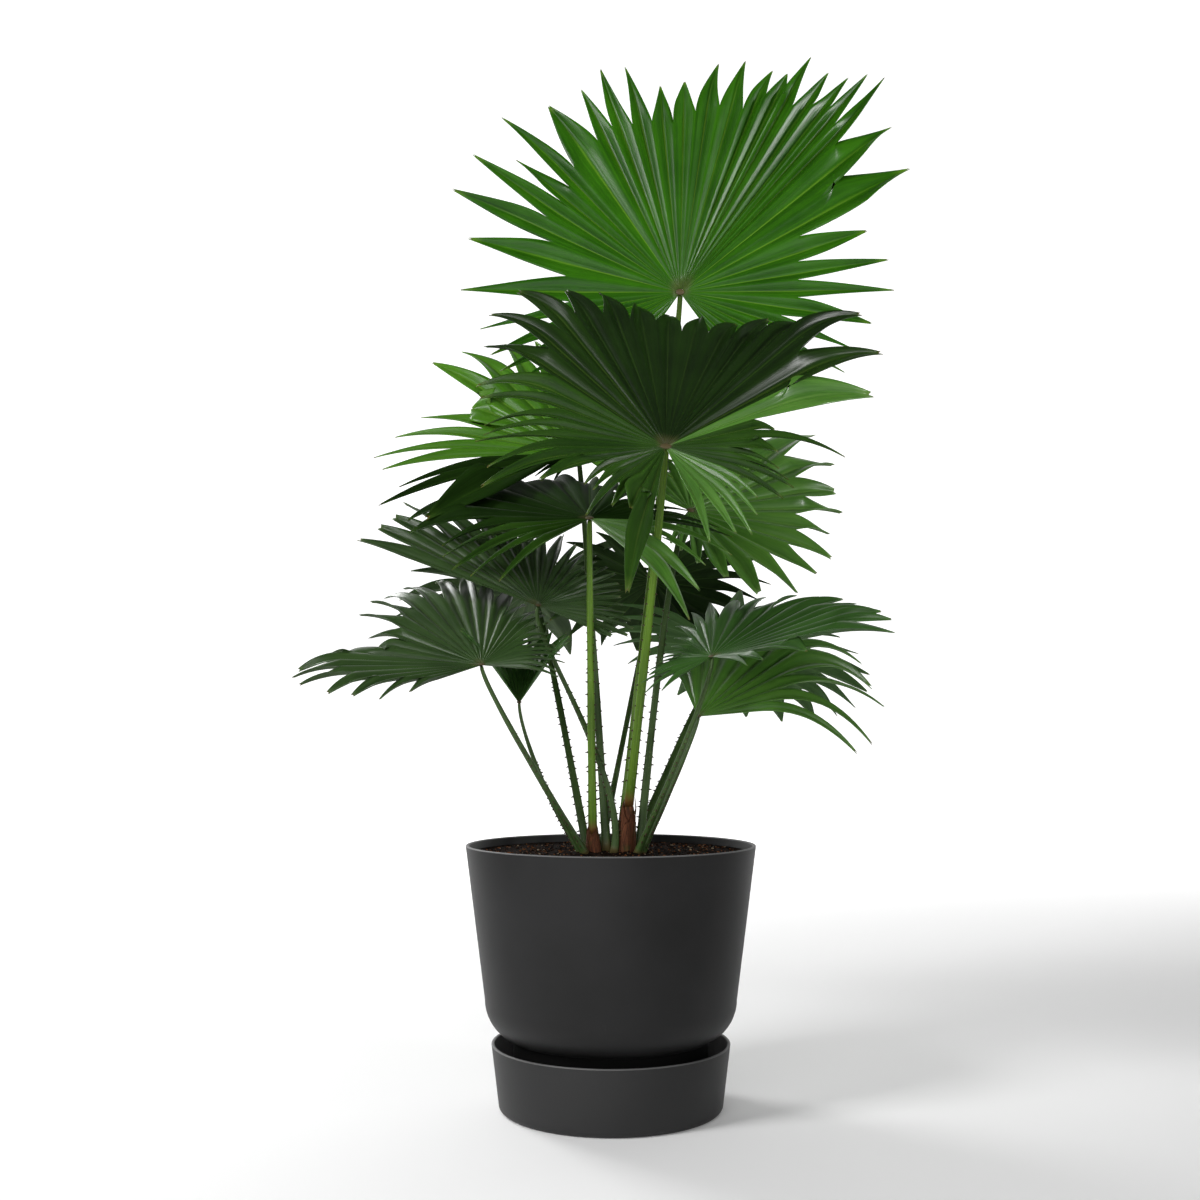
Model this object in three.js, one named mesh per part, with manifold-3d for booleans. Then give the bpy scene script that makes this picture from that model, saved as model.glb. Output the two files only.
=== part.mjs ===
// Potted footstool palm: a young fan palm with thirteen leaves in a round plastic pot and its water tray.
// Millimetres, +Z up, origin at the centre of the tray's flat underside, front view along +Y.
import * as THREE from 'three';
import { mergeVertices } from 'three/addons/utils/BufferGeometryUtils.js';
import Module from 'manifold-3d';

const wasm = await Module();
wasm.setup();

const DEGREE = Math.PI / 180;
const UP = new THREE.Vector3(0, 0, 1);

// Clearance between pieces that touch on the real plant
const GAP = 0.3;
const CUT_CLEARANCE = 0.7;
const CUT_NOTICE = 1e-4;
const MERGE_DISTANCE = 1e-4;

// Tray that holds the water
const TRAY_HEIGHT = 64.5;
const TRAY_TOP_RADIUS = 119.2;
const TRAY_FOOT_RADIUS = 111.7;
const TRAY_FOOT_ROUND = 6;
const TRAY_FOOT_BEND = 0.3;
const TRAY_WALL = 3.2;
const TRAY_FLOOR = 4;

// Pot
const POT_TOP = 259;
const POT_RIM_RADIUS = 146.5;
const POT_SHOULDER_HEIGHT = 108;
const POT_SHOULDER_RADIUS = 126.1;
const POT_SHOULDER_ROUND = 42;
const POT_SHOULDER_ANGLES = [72, 54, 36, 18];
const POT_FOOT_RADIUS = 98;
const POT_WALL = 3.4;
const ROUND_SIDES = 40;

// Potting soil
const SOIL_TOP = 251;
const SOIL_CLEARANCE = 0.4;

// Leaf stalks
const STALK_SIDES = 8;
const STALK_ROWS = 8;
const STALK_END_CROWDING = 1.7;
const STALK_HOOK = 26;
const STALK_HOOK_SLANT = 0.7;
const STALK_FOOT_RISE = 0.34;
const STALK_RING_GAP = 2;

// Leaf blades
const BLADE_THINNESS = 0.0105;
const PLEAT_DEPTH = 0.2;
const LENGTH_JITTER = 0.07;
const SPLIT_JITTER = 0.05;
const TURN_JITTER = 0.1;
const SPLIT_FOCUS = 4;
const DROOP_STEPS = 8;
const DROOP_LEAST = 0.7;
const DROOP_SPREAD = 0.6;
const SEGMENT_TAPER = 1.4;

// Stems
const STEM_SIDES = 12;
const STEM_ROWS = 2;

// The two short stems, each wrapped in old sheaths, that the leaf stalks rise around
const STEMS = {
  right: { x: 15, y: -16, footRadius: 9.5, topRadius: 7.2, height: 46, lean: 3 },
  left: { x: -17, y: -20, footRadius: 7.5, topRadius: 6, height: 18, lean: -1 },
};

// Leaves. hub: where the stalk meets the blade. yaw, pitch: where the upper face looks, with yaw 0 to
// the front and pitch 90 to the sky. sinus: the side of the blade that is open down to the hub, by
// opening to each hand. spans: how long the segments are, and lifts: how many degrees they rise from
// the blade's plane, at some sides of the blade. All sides are measured in the blade from its right
// hand. folds: the sides at which some folds lie, by their number, where they aren't even. splitFar,
// splitNear: how far out the blade stays whole at its most whole side (whole) and opposite it. droop:
// how far the free segments hang. foot: the stem, and the bearing round it where the stalk leaves the
// soil, or the stem alone for a stalk that stands on the stem's top. lean: how far the lower stalk
// swings to the right and back.
const LEAVES = [
  {
    name: 'top', hub: [79, 110, 868], yaw: -4, pitch: 14, sinus: 270, opening: 30,
    spans: [
      [-60, 190], [-15, 230], [5, 249], [17, 224], [23, 224], [26, 305], [42, 323], [46, 361],
      [57, 348], [70, 317], [84, 300], [95, 267], [98, 300], [104, 311], [122, 305], [131, 317],
      [137, 267], [143, 300], [150, 317], [166, 267], [181, 255], [240, 205],
    ],
    splitFar: 0.8, splitNear: 0.5, whole: 76, droop: 0.06,
    lifts: [[0, 5]],
    folds: [
      [0, -60], [5, -20], [6, -8.5], [8, 11.5], [9, 23.5], [10, 34.5], [11, 44], [18, 72],
      [22, 98.5], [25, 116.5], [26, 128], [28, 140.5], [30, 158], [32, 188], [39, 240],
    ],
    segments: 39, rows: 3, foot: ['right', 108], footRadius: 5.2, topRadius: 2.9, lean: [0, 0],
  },
  {
    name: 'front', hub: [53, -115, 644], yaw: 6, pitch: 44, sinus: 268, opening: 10,
    spans: [
      [-82, 150], [-62, 150], [-45, 118], [-28, 140], [-12, 120], [-2, 105], [4, 190], [9, 190],
      [13, 110], [18, 120], [23, 235], [27, 235], [30, 292], [34, 292], [38, 285], [45, 290],
      [50, 250], [58, 250], [85, 250], [108, 270], [118, 285], [128, 262], [136, 240],
      [146, 208], [165, 190], [186, 190], [195, 192], [203, 140], [211, 105], [219, 105],
      [226, 138], [231, 138], [238, 108], [245, 110], [252, 220], [258, 225],
    ],
    splitFar: 0.76, splitNear: 0.5, whole: 85, droop: 0.55,
    lifts: [[0, 4], [20, 6], [27, 9], [32, 10], [41, 15], [48, 14], [60, 8], [80, 4], [100, 9], [125, 10], [145, 5], [220, 3]],
    segments: 40, rows: 3, foot: ['right'], footRadius: 4.8, topRadius: 3.3, lean: [0, 0],
  },
  {
    name: 'upper_left', hub: [-36, 70, 676], yaw: -12, pitch: 42, sinus: 285, opening: 26,
    spans: [
      [-49, 115], [-20, 130], [30, 150], [60, 180], [90, 200], [120, 235], [136, 262],
      [147, 275], [151, 160], [158, 150], [162, 215], [170, 225], [182, 237], [192, 225],
      [203, 200], [212, 240], [222, 240], [227, 72], [259, 60],
    ],
    splitFar: 0.58, splitNear: 0.44, whole: 120, droop: 0.3,
    lifts: [[0, 4], [120, 8], [180, 8], [215, 13], [240, 10]],
    segments: 30, rows: 2, foot: ['left', 16], footRadius: 4.2, topRadius: 2.5, lean: [0, 0],
  },
  {
    name: 'middle_left', hub: [-21, -42, 586], yaw: -6, pitch: 62, sinus: 270, opening: 24,
    spans: [
      [-66, 255], [-40, 160], [-20, 165], [10, 130], [40, 108], [64, 112], [80, 140],
      [100, 165], [115, 170], [128, 182], [145, 190], [164, 228], [184, 165], [246, 155],
    ],
    splitFar: 0.74, splitNear: 0.4, whole: 130, droop: 0.5,
    lifts: [[0, 0]],
    segments: 24, rows: 2, foot: ['left'], footRadius: 4.5, topRadius: 2.5, lean: [0, 0],
  },
  {
    name: 'middle_right', hub: [85, 40, 607], yaw: 10, pitch: 42, sinus: 190, opening: 42,
    spans: [
      [-128, 60], [-100, 75], [-80, 110], [-65, 145], [-50, 168], [-30, 160], [-10, 155],
      [3, 172], [16, 186], [30, 222], [44, 246], [50, 235], [58, 190], [80, 140], [110, 110],
      [148, 95],
    ],
    splitFar: 0.71, splitNear: 0.5, whole: 0, droop: 0.3,
    lifts: [[0, 0]],
    segments: 20, rows: 2, foot: ['right', 30], footRadius: 4.2, topRadius: 2.5, lean: [0, 0],
  },
  {
    name: 'high_left', hub: [-74, -10, 501], yaw: 10, pitch: 50, sinus: 222, opening: 83,
    spans: [
      [-42, 85], [-30, 108], [0, 92], [60, 120], [123, 235], [138, 222], [152, 212],
    ],
    splitFar: 0.73, splitNear: 0.49, whole: 160, droop: 0.15,
    lifts: [[0, 2]],
    segments: 24, rows: 2, foot: ['right', 217], footRadius: 3.6, topRadius: 1.8, lean: [48, 4],
  },
  {
    name: 'low_left', hub: [-127, -60, 438], yaw: -6, pitch: 73, sinus: 290, opening: 50,
    spans: [
      [-20, 85], [10, 85], [40, 80], [80, 150], [108, 235], [130, 215], [150, 175], [162, 115],
      [168, 120], [177, 185], [190, 190], [203, 180], [222, 135], [232, 112], [240, 80],
    ],
    splitFar: 0.74, splitNear: 0.51, whole: 185, droop: 0.5,
    lifts: [[-20, 0], [40, 20], [80, 20], [120, 19], [150, 15], [163, 10], [175, 4], [215, 1], [240, 0]],
    segments: 30, rows: 2, foot: ['left', 238], footRadius: 4.2, topRadius: 1.9, lean: [0, 0],
  },
  {
    name: 'under_left', hub: [-93, -10, 402], yaw: 0, pitch: 50, sinus: 270, opening: 110,
    spans: [
      [20, 80], [60, 95], [90, 100], [120, 105], [160, 90],
    ],
    splitFar: 0.66, splitNear: 0.5, whole: 100, droop: 0.3,
    lifts: [[20, 58], [55, 28], [90, 8], [125, 28], [160, 58]],
    segments: 16, rows: 2, foot: ['left', 196], footRadius: 3, topRadius: 1.5, lean: [-9, 0],
  },
  {
    name: 'low_right', hub: [99, -60, 446], yaw: -42, pitch: 67, sinus: 295, opening: 32,
    spans: [
      [-33, 90], [-15, 85], [-3, 130], [4, 205], [36, 175], [70, 160], [100, 150], [120, 125],
      [140, 105], [160, 62], [200, 58], [225, 70], [249, 92], [263, 60],
    ],
    splitFar: 0.7, splitNear: 0.5, whole: 40, droop: 0.35,
    lifts: [[-33, 6], [60, 5], [100, 10], [130, 18], [160, 14], [220, 4], [263, -4]],
    segments: 26, rows: 2, foot: ['right', -48], footRadius: 4, topRadius: 1.9, lean: [0, 0],
  },
  {
    name: 'under_right', hub: [88, -20, 388], yaw: -12, pitch: 62, sinus: 252, opening: 121,
    spans: [
      [-6, 175], [6, 192], [18, 204], [30, 212], [42, 232], [52, 225], [62, 195], [90, 150],
      [112, 110],
    ],
    splitFar: 0.7, splitNear: 0.3, whole: 85, droop: 1.25,
    lifts: [[-6, 6], [20, 10], [40, 12], [112, 8]],
    segments: 10, rows: 2, foot: ['right', -10], footRadius: 4, topRadius: 1.9, lean: [0, 0],
  },
  {
    name: 'back_left', hub: [-92, 182, 537], yaw: 205, pitch: 62, sinus: 90, opening: 26,
    spans: [
      [116, 150], [270, 190], [424, 150],
    ],
    splitFar: 0.68, splitNear: 0.5, whole: 270, droop: 0.35,
    lifts: [[0, 2]],
    segments: 20, rows: 2, foot: ['left', 118], footRadius: 4.2, topRadius: 2.3, lean: [0, 0],
  },
  {
    name: 'back_right', hub: [138, 190, 469], yaw: 142, pitch: 62, sinus: 90, opening: 26,
    spans: [
      [116, 150], [270, 190], [424, 150],
    ],
    splitFar: 0.68, splitNear: 0.5, whole: 270, droop: 0.35,
    lifts: [[0, 2]],
    segments: 20, rows: 2, foot: ['right', 66], footRadius: 4.2, topRadius: 2.3, lean: [0, 0],
  },
  {
    name: 'back_low', hub: [50, 184, 547], yaw: 180, pitch: 60, sinus: 90, opening: 26,
    spans: [
      [116, 125], [270, 160], [424, 125],
    ],
    splitFar: 0.68, splitNear: 0.5, whole: 270, droop: 0.35,
    lifts: [[0, 2]],
    segments: 18, rows: 2, foot: ['left', 64], footRadius: 4, topRadius: 2.3, lean: [0, 0],
  },
];

const FINISH = {
  plastic: { color: 0x2e2f30, roughness: 0.55, metalness: 0 },
  soil: { color: 0x1d1511, roughness: 0.95, metalness: 0 },
  sheath: { color: 0x6b4531, roughness: 0.8, metalness: 0 },
  stalk: { color: 0x4b7a2a, roughness: 0.5, metalness: 0 },
  blade: { color: 0x245a1c, roughness: 0.42, metalness: 0 },
};

// A repeatable source of numbers from 0 to 1 for one leaf
function seeded(seed) {
  let state = seed;
  return () => {
    state = (state * 1664525 + 1013904223) % 4294967296;
    return state / 4294967296;
  };
}

// The blade's own axes: its upper side, its right-hand side and its far side
function leafAxes(leaf) {
  const yaw = leaf.yaw * DEGREE;
  const pitch = leaf.pitch * DEGREE;
  const normal = new THREE.Vector3(
    Math.sin(yaw) * Math.cos(pitch),
    -Math.cos(yaw) * Math.cos(pitch),
    Math.sin(pitch),
  );
  const right = new THREE.Vector3(Math.cos(yaw), Math.sin(yaw), 0);
  const far = new THREE.Vector3().crossVectors(normal, right);
  return { normal, right, far };
}

// A direction in the blade's plane at an angle from its right-hand side
function around(axes, angle) {
  return new THREE.Vector3()
    .addScaledVector(axes.right, Math.cos(angle))
    .addScaledVector(axes.far, Math.sin(angle));
}

// How near an angle is to a side of the blade, from 0 to 1
function nearness(angle, side) {
  return (1 + Math.cos(angle - side * DEGREE)) / 2;
}

// The value at a place, between those that a list of [place, value] names
function valueAt(list, place) {
  if (place <= list[0][0]) return list[0][1];
  for (let i = 1; i < list.length; i += 1) {
    const [from, before] = list[i - 1];
    const [to, after] = list[i];
    if (place < to) return THREE.MathUtils.mapLinear(place, from, to, before, after);
  }
  return list[list.length - 1][1];
}

// The value at an angle, where the list's places are degrees
function readAt(list, angle) {
  return valueAt(list, angle / DEGREE);
}

// The angle of a numbered fold, or of a rib halfway between two folds
function foldAngle(leaf, number) {
  if (leaf.folds) return valueAt(leaf.folds, number) * DEGREE;
  return (leaf.spans[0][0] + number * evenPleat(leaf)) * DEGREE;
}

// The angle from one fold to the next, in degrees, where the folds lie evenly
function evenPleat(leaf) {
  return (360 - 2 * leaf.opening) / leaf.segments;
}

function longestSpan(leaf) {
  return Math.max(...leaf.spans.map(([, length]) => length));
}

// How far from its hub the blade is still whole at an angle
function splitAt(leaf, angle) {
  const whole = nearness(angle, leaf.whole) ** SPLIT_FOCUS;
  return readAt(leaf.spans, angle) * THREE.MathUtils.lerp(leaf.splitNear, leaf.splitFar, whole);
}

// A segment's rib: the point at a distance along it, bent down by its own weight past the split
function ribPoint(hub, start, split, length, droop, distance) {
  const point = hub.clone().addScaledVector(start, Math.min(distance, split));
  const heading = start.clone();
  const free = distance - split;
  for (let step = 0; free > 0 && step < DROOP_STEPS; step += 1) {
    const share = ((step + 0.5) / DROOP_STEPS) * (free / (length - split));
    heading.copy(start).addScaledVector(UP, -droop * share).normalize();
    point.addScaledVector(heading, free / DROOP_STEPS);
  }
  return { point, heading };
}

// A fan blade as one closed thin solid: pleated and whole near the hub, cut into tapering segments beyond
function bladeGeometry(leaf, thicker = 0) {
  const axes = leafAxes(leaf);
  const random = seeded(longestSpan(leaf) * 1009 + leaf.segments);
  const thickness = longestSpan(leaf) * BLADE_THINNESS;
  const hub = new THREE.Vector3(...leaf.hub).addScaledVector(axes.normal, thicker);
  const depth = thickness + 2 * thicker;
  const pitchAngle = evenPleat(leaf) * DEGREE;
  const positions = [];
  const index = [];
  const pairs = [];

  const pair = (point, normal) => {
    const under = point.clone().addScaledVector(normal, -depth);
    positions.push(point.x, point.y, point.z, under.x, under.y, under.z);
    pairs.push(pairs.length);
    return pairs.length - 1;
  };
  const face = (...corners) => {
    for (let i = 2; i < corners.length; i += 1) {
      index.push(2 * corners[0], 2 * corners[i - 1], 2 * corners[i]);
      index.push(2 * corners[0] + 1, 2 * corners[i] + 1, 2 * corners[i - 1] + 1);
    }
  };
  const wall = (from, to) => {
    index.push(2 * to, 2 * from, 2 * from + 1);
    index.push(2 * to, 2 * from + 1, 2 * to + 1);
  };

  const centre = pair(hub, axes.normal);
  const ridges = [];
  for (let i = 0; i <= leaf.segments; i += 1) {
    const angle = foldAngle(leaf, i);
    const radius = splitAt(leaf, angle) * (1 + SPLIT_JITTER * (2 * random() - 1));
    const lift = readAt(leaf.lifts, angle) * DEGREE;
    const point = hub.clone()
      .addScaledVector(around(axes, angle), radius * Math.cos(lift))
      .addScaledVector(axes.normal, radius * (Math.sin(lift) + PLEAT_DEPTH * pitchAngle));
    ridges.push({ point, radius, at: pair(point, axes.normal) });
  }

  for (let i = 0; i < leaf.segments; i += 1) {
    const low = ridges[i];
    const high = ridges[i + 1];
    const middle = foldAngle(leaf, i + 0.5);
    const turned = middle + TURN_JITTER * pitchAngle * (2 * random() - 1);
    const length = readAt(leaf.spans, middle) * (1 - LENGTH_JITTER * random());
    const lift = readAt(leaf.lifts, middle) * DEGREE;
    const split = (low.radius + high.radius) / 2;
    const start = around(axes, turned).multiplyScalar(Math.cos(lift))
      .addScaledVector(axes.normal, Math.sin(lift));
    const across = around(axes, turned + Math.PI / 2);
    const halfWidth = low.point.distanceTo(high.point) / 2;
    const droop = leaf.droop * (DROOP_LEAST + DROOP_SPREAD * random());
    const keel = ribPoint(hub, start, split, length, droop, split);
    let row = { low: low.at, keel: pair(keel.point, axes.normal), high: high.at };
    face(centre, row.low, row.keel);
    face(centre, row.keel, row.high);
    for (let r = 1; r < leaf.rows; r += 1) {
      const share = r / leaf.rows;
      const rib = ribPoint(hub, start, split, length, droop, THREE.MathUtils.lerp(split, length, share));
      const upper = new THREE.Vector3().crossVectors(rib.heading, across).normalize();
      const width = halfWidth * (1 - share ** SEGMENT_TAPER);
      const fold = PLEAT_DEPTH * 2 * width;
      const sides = [-1, 1].map((side) => pair(
        rib.point.clone().addScaledVector(across, side * width).addScaledVector(upper, fold),
        upper,
      ));
      const next = { low: sides[0], keel: pair(rib.point, upper), high: sides[1] };
      face(row.low, next.low, next.keel, row.keel);
      face(row.keel, next.keel, next.high, row.high);
      wall(row.low, next.low);
      wall(next.high, row.high);
      row = next;
    }
    const end = ribPoint(hub, start, split, length, droop, length);
    const tip = pair(end.point, new THREE.Vector3().crossVectors(end.heading, across).normalize());
    face(row.low, tip, row.keel);
    face(row.keel, tip, row.high);
    wall(row.low, tip);
    wall(tip, row.high);
  }
  wall(centre, ridges[0].at);
  wall(ridges[leaf.segments].at, centre);

  const geometry = new THREE.BufferGeometry();
  geometry.setAttribute('position', new THREE.Float32BufferAttribute(positions, 3));
  geometry.setIndex(index);
  return geometry;
}

// Where a leaf's stalk starts: on the soil in a ring round its stem, or on the stem's top
function footPoint(leaf) {
  const [side, bearing] = leaf.foot;
  const stem = STEMS[side];
  if (bearing === undefined) {
    return new THREE.Vector3(stem.x + stem.lean, stem.y, SOIL_TOP + GAP + stem.height + GAP);
  }
  const ring = stem.footRadius + leaf.footRadius + STALK_RING_GAP;
  const angle = bearing * DEGREE;
  return new THREE.Vector3(
    stem.x + ring * Math.cos(angle),
    stem.y + ring * Math.sin(angle),
    SOIL_TOP + GAP,
  );
}

// A stalk: one tapering limb from the soil to just under its blade's hub
function stalkGeometry(leaf, thicker = 0) {
  const axes = leafAxes(leaf);
  const foot = footPoint(leaf);
  const under = GAP + longestSpan(leaf) * BLADE_THINNESS;
  const top = new THREE.Vector3(...leaf.hub).addScaledVector(axes.normal, thicker - under);
  const entry = around(axes, leaf.sinus * DEGREE)
    .sub(axes.normal)
    .multiplyScalar(STALK_HOOK_SLANT);
  const hook = top.clone().addScaledVector(entry, STALK_HOOK);
  const length = foot.distanceTo(top);
  const risen = foot.clone().lerp(hook, STALK_FOOT_RISE)
    .add(new THREE.Vector3(leaf.lean[0], leaf.lean[1], 0));
  const curve = new THREE.CubicBezierCurve3(foot, risen, hook, top);

  const geometry = new THREE.CylinderGeometry(1, 1, 1, STALK_SIDES, STALK_ROWS);
  const place = geometry.attributes.position;
  const side = new THREE.Vector3();
  const front = new THREE.Vector3();
  for (let i = 0; i < place.count; i += 1) {
    const along = 1 - (0.5 - place.getY(i)) ** STALK_END_CROWDING;
    const spot = curve.getPoint(along);
    const axis = curve.getTangent(along);
    if (along <= 0) axis.copy(UP);
    if (along >= 1) axis.copy(axes.normal);
    front.crossVectors(axis, new THREE.Vector3(1, 0, 0)).normalize();
    side.crossVectors(front, axis).normalize();
    const radius = THREE.MathUtils.lerp(leaf.footRadius, leaf.topRadius, along) + thicker;
    spot.addScaledVector(side, radius * place.getX(i)).addScaledVector(front, -radius * place.getZ(i));
    place.setXYZ(i, spot.x, spot.y, spot.z);
  }
  return geometry;
}

function toSolid(geometry) {
  const bare = geometry.clone();
  bare.deleteAttribute('normal');
  bare.deleteAttribute('uv');
  const merged = mergeVertices(bare, MERGE_DISTANCE);
  return new wasm.Manifold(new wasm.Mesh({
    numProp: 3,
    vertProperties: new Float32Array(merged.attributes.position.array),
    triVerts: new Uint32Array(merged.index.array),
  }));
}

function toGeometry(solid) {
  const mesh = solid.getMesh();
  const geometry = new THREE.BufferGeometry();
  geometry.setAttribute('position', new THREE.BufferAttribute(new Float32Array(mesh.vertProperties), 3));
  geometry.setIndex(new THREE.BufferAttribute(new Uint32Array(mesh.triVerts), 1));
  geometry.computeVertexNormals();
  return geometry;
}

// The blade with room cut for every stalk and for every blade before it that passes through its space
function clearedBlade(leaf, obstacles) {
  let solid = toSolid(bladeGeometry(leaf));
  let cut = false;
  for (const obstacle of obstacles) {
    if (solid.intersect(obstacle).volume() > CUT_NOTICE) {
      solid = solid.subtract(obstacle);
      cut = true;
    }
  }
  if (!cut) return toGeometry(solid);
  const pieces = solid.decompose().sort((a, b) => b.volume() - a.volume());
  return toGeometry(pieces[0]);
}

function named(name, geometry, finish) {
  const mesh = new THREE.Mesh(geometry, new THREE.MeshStandardMaterial(finish));
  mesh.name = name;
  return mesh;
}

// Turns a profile of [radius, height] points about the upright axis
function turned(profile, sides = ROUND_SIDES) {
  const geometry = new THREE.LatheGeometry(profile.map(([r, z]) => new THREE.Vector2(r, z)), sides);
  geometry.rotateX(Math.PI / 2);
  return geometry;
}

function trayMesh() {
  const round = TRAY_FOOT_ROUND;
  const profile = [
    [0, 0],
    [TRAY_FOOT_RADIUS - round, 0],
    [TRAY_FOOT_RADIUS - TRAY_FOOT_BEND * round, TRAY_FOOT_BEND * round],
    [TRAY_FOOT_RADIUS, round],
    [TRAY_TOP_RADIUS, TRAY_HEIGHT],
    [TRAY_TOP_RADIUS - TRAY_WALL, TRAY_HEIGHT],
    [TRAY_FOOT_RADIUS - TRAY_WALL, TRAY_FLOOR],
    [0, TRAY_FLOOR],
  ];
  return named('water_tray', turned(profile), FINISH.plastic);
}

// The pot's outer line from foot to rim, moved inwards by a wall
function potLine(wall) {
  const foot = TRAY_FLOOR + GAP;
  const line = [[POT_FOOT_RADIUS - wall, foot + wall]];
  for (const angle of POT_SHOULDER_ANGLES) {
    line.push([
      POT_SHOULDER_RADIUS - POT_SHOULDER_ROUND * (1 - Math.cos(angle * DEGREE)) - wall,
      POT_SHOULDER_HEIGHT - POT_SHOULDER_ROUND * Math.sin(angle * DEGREE),
    ]);
  }
  line.push([POT_SHOULDER_RADIUS - wall, POT_SHOULDER_HEIGHT]);
  line.push([POT_RIM_RADIUS - wall, POT_TOP]);
  return line;
}

function potMesh() {
  const outer = potLine(0);
  const inner = potLine(POT_WALL).reverse();
  const profile = [[0, outer[0][1]], ...outer, ...inner, [0, inner[inner.length - 1][1]]];
  return named('pot', turned(profile), FINISH.plastic);
}

function soilMesh() {
  const side = potLine(POT_WALL + SOIL_CLEARANCE);
  const topShare = (SOIL_TOP - POT_SHOULDER_HEIGHT) / (POT_TOP - POT_SHOULDER_HEIGHT);
  side[side.length - 1] = [
    THREE.MathUtils.lerp(POT_SHOULDER_RADIUS, POT_RIM_RADIUS, topShare) - POT_WALL - SOIL_CLEARANCE,
    SOIL_TOP,
  ];
  const profile = [[0, side[0][1]], ...side, [0, SOIL_TOP]];
  return named('soil', turned(profile), FINISH.soil);
}

// A short stem: a tapering stub that stands on the soil and leans a little
function stemMesh(side) {
  const stem = STEMS[side];
  const geometry = new THREE.CylinderGeometry(
    stem.topRadius,
    stem.footRadius,
    stem.height,
    STEM_SIDES,
    STEM_ROWS,
  );
  geometry.rotateX(Math.PI / 2);
  geometry.translate(0, 0, stem.height / 2);
  const shear = new THREE.Matrix4().makeShear(0, 0, 0, 0, stem.lean / stem.height, 0);
  geometry.applyMatrix4(shear);
  const mesh = named(`stem_${side}`, geometry, FINISH.sheath);
  mesh.position.set(stem.x, stem.y, SOIL_TOP + GAP);
  return mesh;
}

const palm = new THREE.Group();
palm.name = 'potted_palm';
palm.add(trayMesh(), potMesh(), soilMesh(), stemMesh('right'), stemMesh('left'));

const obstacles = LEAVES.map((leaf) => toSolid(stalkGeometry(leaf, CUT_CLEARANCE)));
LEAVES.forEach((leaf, i) => {
  const others = obstacles.filter((_, k) => k !== i);
  const own = toSolid(stalkGeometry(leaf));
  palm.add(named(`stalk_${leaf.name}`, stalkGeometry(leaf), FINISH.stalk));
  palm.add(named(`frond_${leaf.name}`, clearedBlade(leaf, [own, ...others]), FINISH.blade));
  obstacles.push(toSolid(bladeGeometry(leaf, CUT_CLEARANCE)));
});

export default palm;
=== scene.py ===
"""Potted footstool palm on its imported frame: thirteen pleated fan leaves in a pot with its water tray."""

import logging
import math
import random
from dataclasses import dataclass
from enum import Enum
from typing import Callable, Iterator

import bmesh
import bpy
from mathutils import Matrix, Vector, noise
from mathutils.kdtree import KDTree


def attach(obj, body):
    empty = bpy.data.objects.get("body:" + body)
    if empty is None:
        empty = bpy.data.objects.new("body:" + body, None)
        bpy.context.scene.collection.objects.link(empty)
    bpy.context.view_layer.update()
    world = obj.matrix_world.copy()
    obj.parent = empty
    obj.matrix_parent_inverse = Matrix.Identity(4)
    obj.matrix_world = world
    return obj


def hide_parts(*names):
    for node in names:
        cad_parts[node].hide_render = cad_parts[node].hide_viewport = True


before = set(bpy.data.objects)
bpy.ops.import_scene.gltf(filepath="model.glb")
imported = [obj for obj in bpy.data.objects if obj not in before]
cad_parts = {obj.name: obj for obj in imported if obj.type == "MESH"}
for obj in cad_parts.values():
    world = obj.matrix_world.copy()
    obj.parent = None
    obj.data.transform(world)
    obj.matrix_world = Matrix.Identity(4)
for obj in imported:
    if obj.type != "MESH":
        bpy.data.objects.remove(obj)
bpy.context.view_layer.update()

log = logging.getLogger("palm")

MM = 0.001
WELD = 1e-6
UP = Vector((0.0, 0.0, 1.0))
BODY = "root"

Colour = tuple[float, float, float, float]
Pairs = tuple[tuple[float, float], ...]
Shape = Callable[[float, float], Vector]


def screen(red: int, green: int, blue: int) -> Colour:
    """Turns a colour as a screen shows it into the linear values that shaders use.

    Args:
        red: Red from 0 to 255.
        green: Green from 0 to 255.
        blue: Blue from 0 to 255.

    Returns:
        The linear colour with full alpha.
    """
    def linear(level: int) -> float:
        """One channel of the colour."""
        share = level / 255
        return share / 12.92 if share <= 0.04045 else ((share + 0.055) / 1.055) ** 2.4

    return (linear(red), linear(green), linear(blue), 1.0)


def between(low: float, high: float, share: float) -> float:
    """The value a share of the way from low to high."""
    return low + (high - low) * share


def value_at(pairs: Pairs, place: float) -> float:
    """Reads a value that is named at some places.

    Args:
        pairs: Places, rising, each with its value.
        place: The place to read at.

    Returns:
        The value between the two nearest named ones.
    """
    if place <= pairs[0][0]:
        return pairs[0][1]
    for (start, before), (end, after) in zip(pairs, pairs[1:]):
        if place < end:
            return between(before, after, (place - start) / (end - start))
    return pairs[-1][1]


def read_at(pairs: Pairs, angle: float) -> float:
    """The value at an angle in radians, where the named places are degrees."""
    return value_at(pairs, math.degrees(angle))


def outline(radius: float, height: float) -> Vector:
    """A point of a turned piece's outline."""
    return Vector((radius, 0.0, height))


def rounding(radius: float, height: float, size: float, turn: float, steps: int) -> list[Vector]:
    """Rounds an outline off from below, up to where its wall starts.

    Args:
        radius: The radius at the wall's start.
        height: The height there.
        size: The radius of the rounding.
        turn: How many degrees it turns through.
        steps: Faces along it.

    Returns:
        The points, rising.
    """
    points = []
    for step in range(steps + 1):
        angle = math.radians(turn * (1.0 - step / steps))
        points.append(outline(radius - size * (1.0 - math.cos(angle)), height - size * math.sin(angle)))
    return points


def compass(angle: float) -> Vector:
    """The level direction at an angle in radians."""
    return Vector((math.cos(angle), math.sin(angle), 0.0))


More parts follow.
